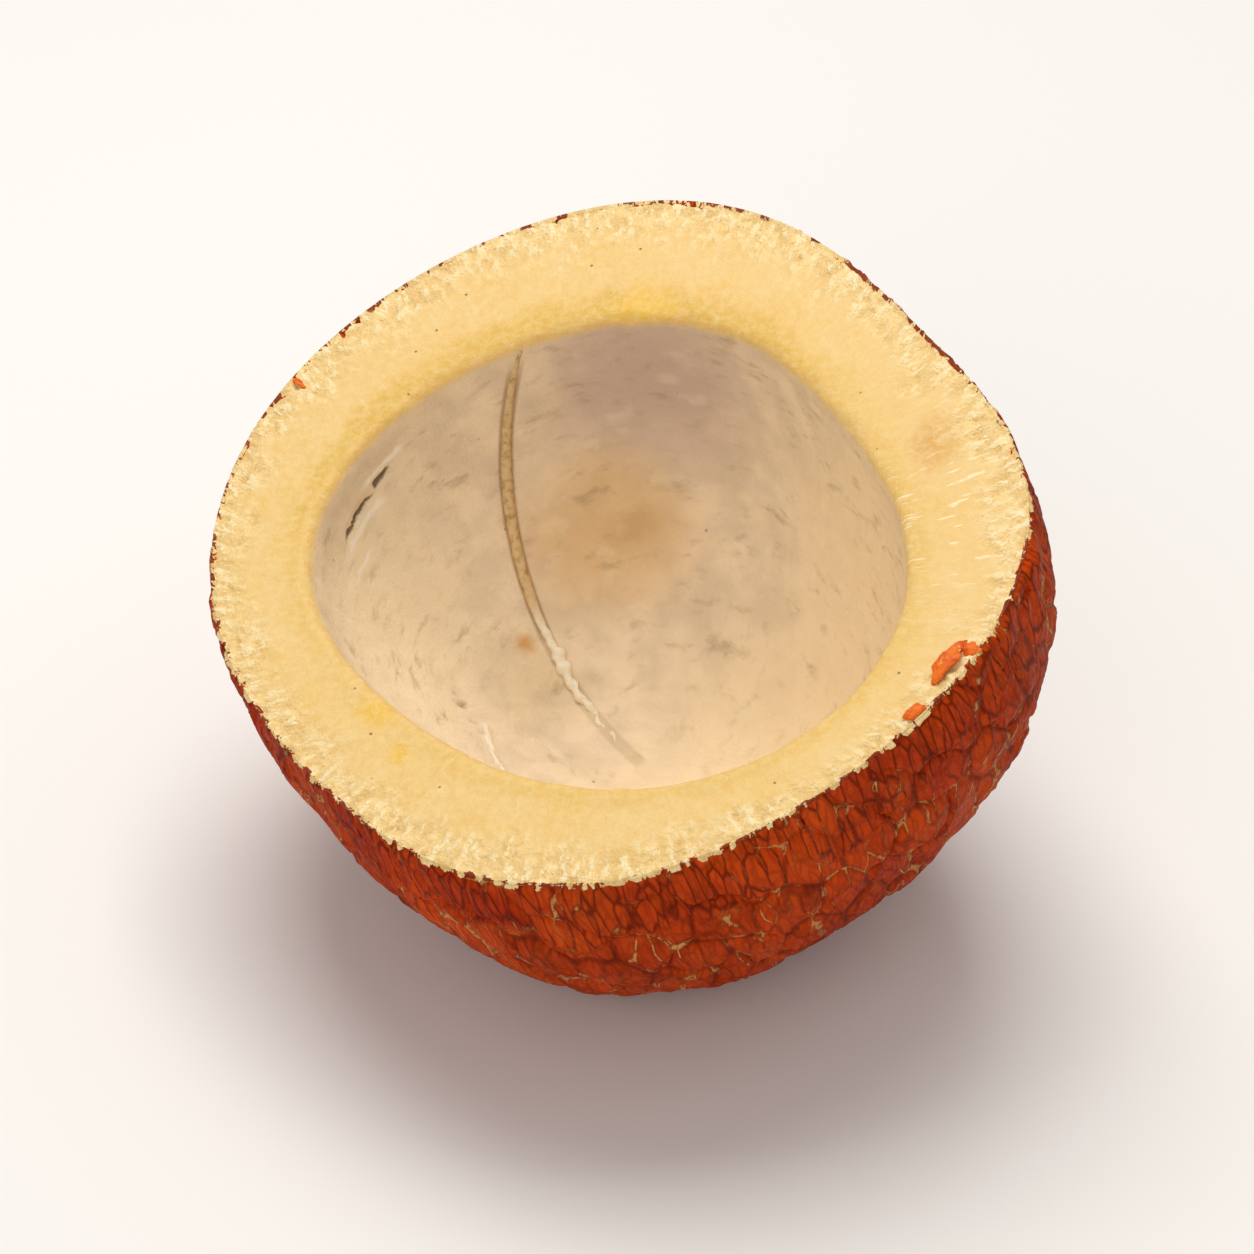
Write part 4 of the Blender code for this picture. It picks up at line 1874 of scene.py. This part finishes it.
@dataclass
class Vein:
    """The raised strand on the hollow's wall, where a slanting plane meets it.

    Attributes:
        form: The nut's form.
        resting: How the nut lies.
        finish: The strand's material.
        radius: Its radius where it is of middling thickness, in metres.
        start_depth: Where it begins, as a share of the hollow's depth.
        end_depth: Where it ends.
        rooting: How far its ends sink into the wall, in metres.
        steps: How many rings it has.
        sides: How many sides each ring has.
        flatness: Its height off the wall, as a share of its width.
        search: Between which azimuths it lies, in degrees.
        search_steps: At how many azimuths its place is looked for.
        softenings: How many times its line is evened out.
        wobble: How uneven its surface is, in metres.
        sway: How far its ragged end strays to the sides, in metres.
    """

    form: NutForm
    resting: Resting
    finish: VeinFinish
    radius: float = 0.00068
    start_depth: float = 0.03
    end_depth: float = 0.975
    rooting: float = 0.0003
    steps: int = 130
    sides: int = 14
    flatness: float = 0.85
    search: tuple[float, float] = (90.0, 180.0)
    search_steps: int = 1801
    softenings: int = 12
    wobble: float = 0.00007
    sway: float = 0.00022

    def line(self) -> Array:
        """Finds the strand's middle line on the wall.

        Returns:
            Its points in the nut's frame, from the rim down.
        """
        first = math.acos(self.start_depth)
        last = math.acos(self.end_depth)
        azimuths = np.radians(np.linspace(*self.search, self.search_steps))
        found = []
        for step in range(self.steps):
            along = step / (self.steps - 1)
            steepness = math.pi / 2.0 - (first + (last - first) * along)
            wall = self.form.hollow_wall(azimuths, np.full_like(azimuths, steepness))
            miss = np.abs(wall @ np.array(VEIN_NORMAL) - VEIN_OFFSET)
            found.append(wall[np.argmin(miss)])
        return self.soften(np.array(found))

    def soften(self, points: Array) -> Array:
        """Evens out a line of points.

        Args:
            points: The points, one a row.

        Returns:
            The smoother line, with the same ends.
        """
        for _ in range(self.softenings):
            points[1:-1] = (points[:-2] + 2.0 * points[1:-1] + points[2:]) / 4.0
        return points

    def thickness(self, along: Array) -> Array:
        """Works out how thick the strand is.

        Args:
            along: How far along it, from 0 at the rim to 1 at the bottom.

        Returns:
            Its radius, in metres.
        """
        marks = (0.0, 0.12, 0.28, 0.60, 0.68, 0.75, 0.82, 0.90, 1.0)
        shares = (0.50, 0.76, 1.05, 0.90, 0.62, 1.06, 0.80, 0.50, 0.20)
        return self.radius * np.interp(along, marks, shares)

    def build(self) -> bpy.types.Object:
        """Makes and dresses the vein.

        Returns:
            The finished piece.
        """
        middle = self.line()
        along = np.linspace(0.0, 1.0, self.steps)
        ragged = smooth_step(along, 0.62, 0.72)
        radii = self.thickness(along) * (1.0 + (0.06 + 0.30 * ragged) * ripple(middle, 0.0013, 41))
        sink = self.rooting * (1.0 - np.sin(math.pi * np.clip(along * 1.02, 0.0, 1.0))) ** 2
        away = unit_rows(middle * np.array((-1.0, -1.0, -1.0)))
        middle = middle + away * (0.15 * radii - sink)[:, None]
        side = unit_rows(np.cross(np.gradient(middle, axis=0), away))
        middle = middle + side * (ragged * self.sway * ripple(middle, 0.0022, 43))[:, None]
        piece = new_piece(self.tube(middle, side, away, radii), "vein")
        points = coordinates(piece.data)
        rings = read_floats(piece.data, "along")
        store(piece.data, "place", points / MM)
        uneven = 1.0 + 2.0 * smooth_step(rings, 0.62, 0.72)
        points[:, 2] += self.wobble * uneven * ripple(points, 0.0011, 47)
        set_coordinates(piece.data, points)
        self.resting.lay(piece)
        piece.data.materials.append(self.finish.material())
        return piece

    def tube(self, middle: Array, side: Array, away: Array, radii: Array) -> bmesh.types.BMesh:
        """Draws a ring out along the strand's line.

        Args:
            middle: The line's points.
            side: A direction across the line at each point.
            away: The direction off the wall at each point.
            radii: The strand's radius at each point.

        Returns:
            The closed strand.
        """
        bm = bmesh.new()
        level = bm.verts.layers.float.new("along")
        bmesh.ops.create_circle(bm, segments=self.sides, radius=1.0, cap_ends=True)
        edges = bm.edges[:]
        for _ in range(self.steps - 1):
            grown = bmesh.ops.extrude_edge_only(bm, edges=edges)["geom"]
            edges = [item for item in grown if isinstance(item, bmesh.types.BMEdge)]
            ring = [item for item in grown if isinstance(item, bmesh.types.BMVert)]
            bmesh.ops.translate(bm, verts=ring, vec=(0.0, 0.0, 1.0))
        bmesh.ops.contextual_create(bm, geom=edges)
        for vert in bm.verts:
            step = round(vert.co.z)
            flat = side[step] * vert.co.x + away[step] * vert.co.y * self.flatness
            vert[level] = step / (self.steps - 1)
            vert.co = Vector(middle[step] + flat * radii[step])
        bmesh.ops.recalc_face_normals(bm, faces=bm.faces)
        return bm


# The loose flakes.


@dataclass(frozen=True)
class FlakeFinish(Finish):
    """A thin orange flake of skin with some meat on it.

    Attributes:
        gloss: How strongly it mirrors.
        orange: Most of the flake.
        brown: Its mottles.
        pale: The meat on it.
    """

    name: str = "loose_skin"
    rough: float = 0.45
    gloss: float = 0.15
    orange: Triple = (236.0, 116.0, 30.0)
    brown: Triple = (206.0, 78.0, 16.0)
    pale: Triple = (244.0, 190.0, 110.0)

    def material(self) -> bpy.types.Material:
        """Builds the material.

        Returns:
            The finished material.
        """
        material, bench, shader = self.start()
        place = bench.stored("place", Kind.VECTOR)
        mottle = bench.step(bench.noise(place, 1.1, 4.0, 0.6), 0.38, 0.68)
        colour = bench.blend(mottle, self.orange, self.brown)
        meat = bench.step(bench.noise(place, 0.7, 3.0), 0.60, 0.70)
        colour = bench.blend(bench.product(meat, 0.6), colour, self.pale)
        bench.feed(shader.inputs["Base Color"], colour)
        shader.inputs["Specular IOR Level"].default_value = self.gloss
        self.bump(bench, shader, bench.product(bench.noise(place, 0.45, 4.0), 0.18), 0.8)
        return material


@dataclass(frozen=True)
class Flake:
    """One flake on the cut's edge.

    Attributes:
        middle: Its middle in the nut's frame, in millimetres.
        length: Its length, in millimetres.
        width: Its width, in millimetres.
        heading: The azimuth that its length points to, in degrees.
        curl: How far its middle arches up, in millimetres.
    """

    middle: Triple
    length: float
    width: float
    heading: float
    curl: float


@dataclass
class RimFlakes:
    """Small flakes of skin that the cut left standing on the rim.

    Attributes:
        resting: How the nut lies.
        finish: The flakes' material.
        flakes: The flakes.
        thickness: How thick they are, in millimetres.
    """

    resting: Resting
    finish: FlakeFinish
    flakes: tuple[Flake, ...] = (
        Flake((38.6, -25.0, 0.0), 4.8, 2.4, 50.0, 0.7),
        Flake((40.8, -23.6, -0.3), 2.4, 1.6, 20.0, 0.3),
        Flake((35.0, -31.0, -0.1), 2.4, 1.3, 40.0, 0.3),
        Flake((-38.0, 27.0, -0.3), 1.8, 0.9, 130.0, 0.2),
    )
    thickness: float = 0.45

    def build(self) -> bpy.types.Object:
        """Makes and dresses the flakes.

        Returns:
            The finished piece.
        """
        bm = bmesh.new()
        for number, flake in enumerate(self.flakes):
            self.add_flake(bm, flake, number)
        bmesh.ops.recalc_face_normals(bm, faces=bm.faces)
        piece = new_piece(bm, "rim_flakes")
        points = coordinates(piece.data)
        store(piece.data, "place", points)
        set_coordinates(piece.data, points * MM)
        self.resting.lay(piece)
        piece.data.materials.append(self.finish.material())
        return piece

    def add_flake(self, bm: bmesh.types.BMesh, flake: Flake, number: int) -> None:
        """Shapes one flake from a ball: flattened, arched and with an uneven outline.

        Args:
            bm: Where to add it.
            flake: Its sizes and place.
            number: Which flake it is, for its own unevenness.
        """
        ball = bmesh.ops.create_icosphere(bm, subdivisions=5, radius=1.0)["verts"]
        start = np.array([vert.co for vert in ball])
        uneven = 1.0 + 0.22 * ripple(start * np.array((1.0, 1.0, 0.2)), 1.3, 60 + number)
        rough = 1.0 + 0.05 * ripple(start, 0.35, 70 + number)
        turn = Matrix.Rotation(math.radians(flake.heading), 3, "Z")
        for vert, swell, coarse in zip(ball, uneven, rough):
            spot = vert.co * swell * coarse
            arch = flake.curl * (1.0 - spot.x * spot.x)
            flat = Vector((spot.x * flake.length / 2.0, spot.y * flake.width / 2.0, 0.0))
            flat.z = vert.co.z * self.thickness / 2.0 + arch * 0.5 + 0.12 * spot.y
            vert.co = turn @ flat + Vector(flake.middle)


# The studio.


@dataclass(frozen=True)
class FloorFinish(Finish):
    """Plain pale floor.

    Attributes:
        shade: Its colour.
    """

    name: str = "pale_floor"
    rough: float = 0.75
    shade: Triple = (241.0, 240.0, 238.0)

    def material(self) -> bpy.types.Material:
        """Builds the material.

        Returns:
            The finished material.
        """
        material, _, shader = self.start()
        shader.inputs["Base Color"].default_value = linear(self.shade)
        return material


@dataclass(frozen=True)
class Lamp:
    """A soft rectangular lamp.

    Attributes:
        name: Its name.
        place: Where it hangs, in metres.
        size: The length of its sides, in metres.
        power: Its power, in watts.
        colour: The tint of its light.
    """

    name: str
    place: Triple
    size: float
    power: float
    colour: Triple


@dataclass
class Studio:
    """The floor, the lamps and the camera. All places are in metres.

    Attributes:
        face_middle: The middle of the cut face.
        stand_off: Where the camera stands, seen from there.
        aim: What the camera and the lamps point at.
        lens: The camera's focal length, in millimetres.
        floor_reach: Half the length of the floor's sides.
        lamps: The lamps.
        sky: The tint of the even light from all round.
        sky_strength: How strong that light is.
    """

    face_middle: Triple = (-0.00174, -0.00222, 0.05006)
    stand_off: Triple = (0.0366, -0.3669, 0.2433)
    aim: Triple = (0.0008, 0.0, 0.0345)
    lens: float = 116.0
    floor_reach: float = 1.5
    lamps: tuple[Lamp, ...] = (
        Lamp("overhead", (-0.05, 0.20, 0.70), 0.48, 3.8, (1.0, 0.97, 0.92)),
        Lamp("front", (-0.20, -0.75, 0.42), 0.60, 1.9, (1.0, 0.97, 0.94)),
    )
    sky: Triple = (1.0, 0.98, 0.95)
    sky_strength: float = 0.42

    def build(self) -> None:
        """Sets up everything that isn't the object."""
        self.lay_floor()
        for lamp in self.lamps:
            self.hang(lamp)
        self.light_world()
        self.set_camera()

    def lay_floor(self) -> None:
        """Lays the pale floor."""
        bm = bmesh.new()
        bmesh.ops.create_grid(bm, x_segments=2, y_segments=2, size=self.floor_reach)
        floor = new_piece(bm, "floor")
        floor.data.materials.append(FloorFinish().material())

    def hang(self, lamp: Lamp) -> None:
        """Hangs a lamp and turns it to the object.

        Args:
            lamp: The lamp.
        """
        light = bpy.data.lights.new(lamp.name, "AREA")
        light.size = lamp.size
        light.energy = lamp.power
        light.color = lamp.colour
        holder = bpy.data.objects.new(lamp.name, light)
        holder.location = lamp.place
        look = Vector(self.aim) - Vector(lamp.place)
        holder.rotation_euler = look.to_track_quat("-Z", "Y").to_euler()
        bpy.context.scene.collection.objects.link(holder)

    def light_world(self) -> None:
        """Fills the shadows with even light."""
        world = bpy.data.worlds.new("studio")
        world.use_nodes = True
        backdrop = world.node_tree.nodes["Background"]
        backdrop.inputs["Color"].default_value = (*self.sky, 1.0)
        backdrop.inputs["Strength"].default_value = self.sky_strength
        bpy.context.scene.world = world
        bpy.context.scene.view_settings.view_transform = "Standard"

    def set_camera(self) -> None:
        """Places the camera where the photograph's stood, aimed at the object."""
        data = bpy.data.cameras.new("camera")
        data.sensor_width = 36.0
        data.lens = self.lens
        data.clip_start = 0.01
        camera = bpy.data.objects.new("camera", data)
        camera.location = Vector(self.face_middle) + Vector(self.stand_off)
        look = Vector(self.aim) - camera.location
        camera.rotation_euler = look.to_track_quat("-Z", "Y").to_euler()
        bpy.context.scene.collection.objects.link(camera)
        bpy.context.scene.camera = camera


def fit(piece: bpy.types.Object) -> None:
    """Puts a piece in the node's place and reports it.

    Args:
        piece: The finished piece.
    """
    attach(piece, "root")
    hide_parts(NODE)
    faces = sum(len(face.vertices) - 2 for face in piece.data.polygons)
    LOG.info("%s: %d triangles", piece.name, faces)


def main() -> None:
    """Builds the coconut half and the studio, in order."""
    logging.basicConfig(level=logging.INFO, format="%(message)s")
    form = NutForm()
    resting = Resting(form)
    vein = Vein(form, resting, VeinFinish())
    fit(Skin(form, resting, SkinFinish()).build())
    fit(Meat(form, resting, MeatFinish(), vein.line()).build())
    fit(vein.build())
    fit(RimFlakes(resting, FlakeFinish()).build())
    Studio().build()


if __name__ == "__main__":
    main()
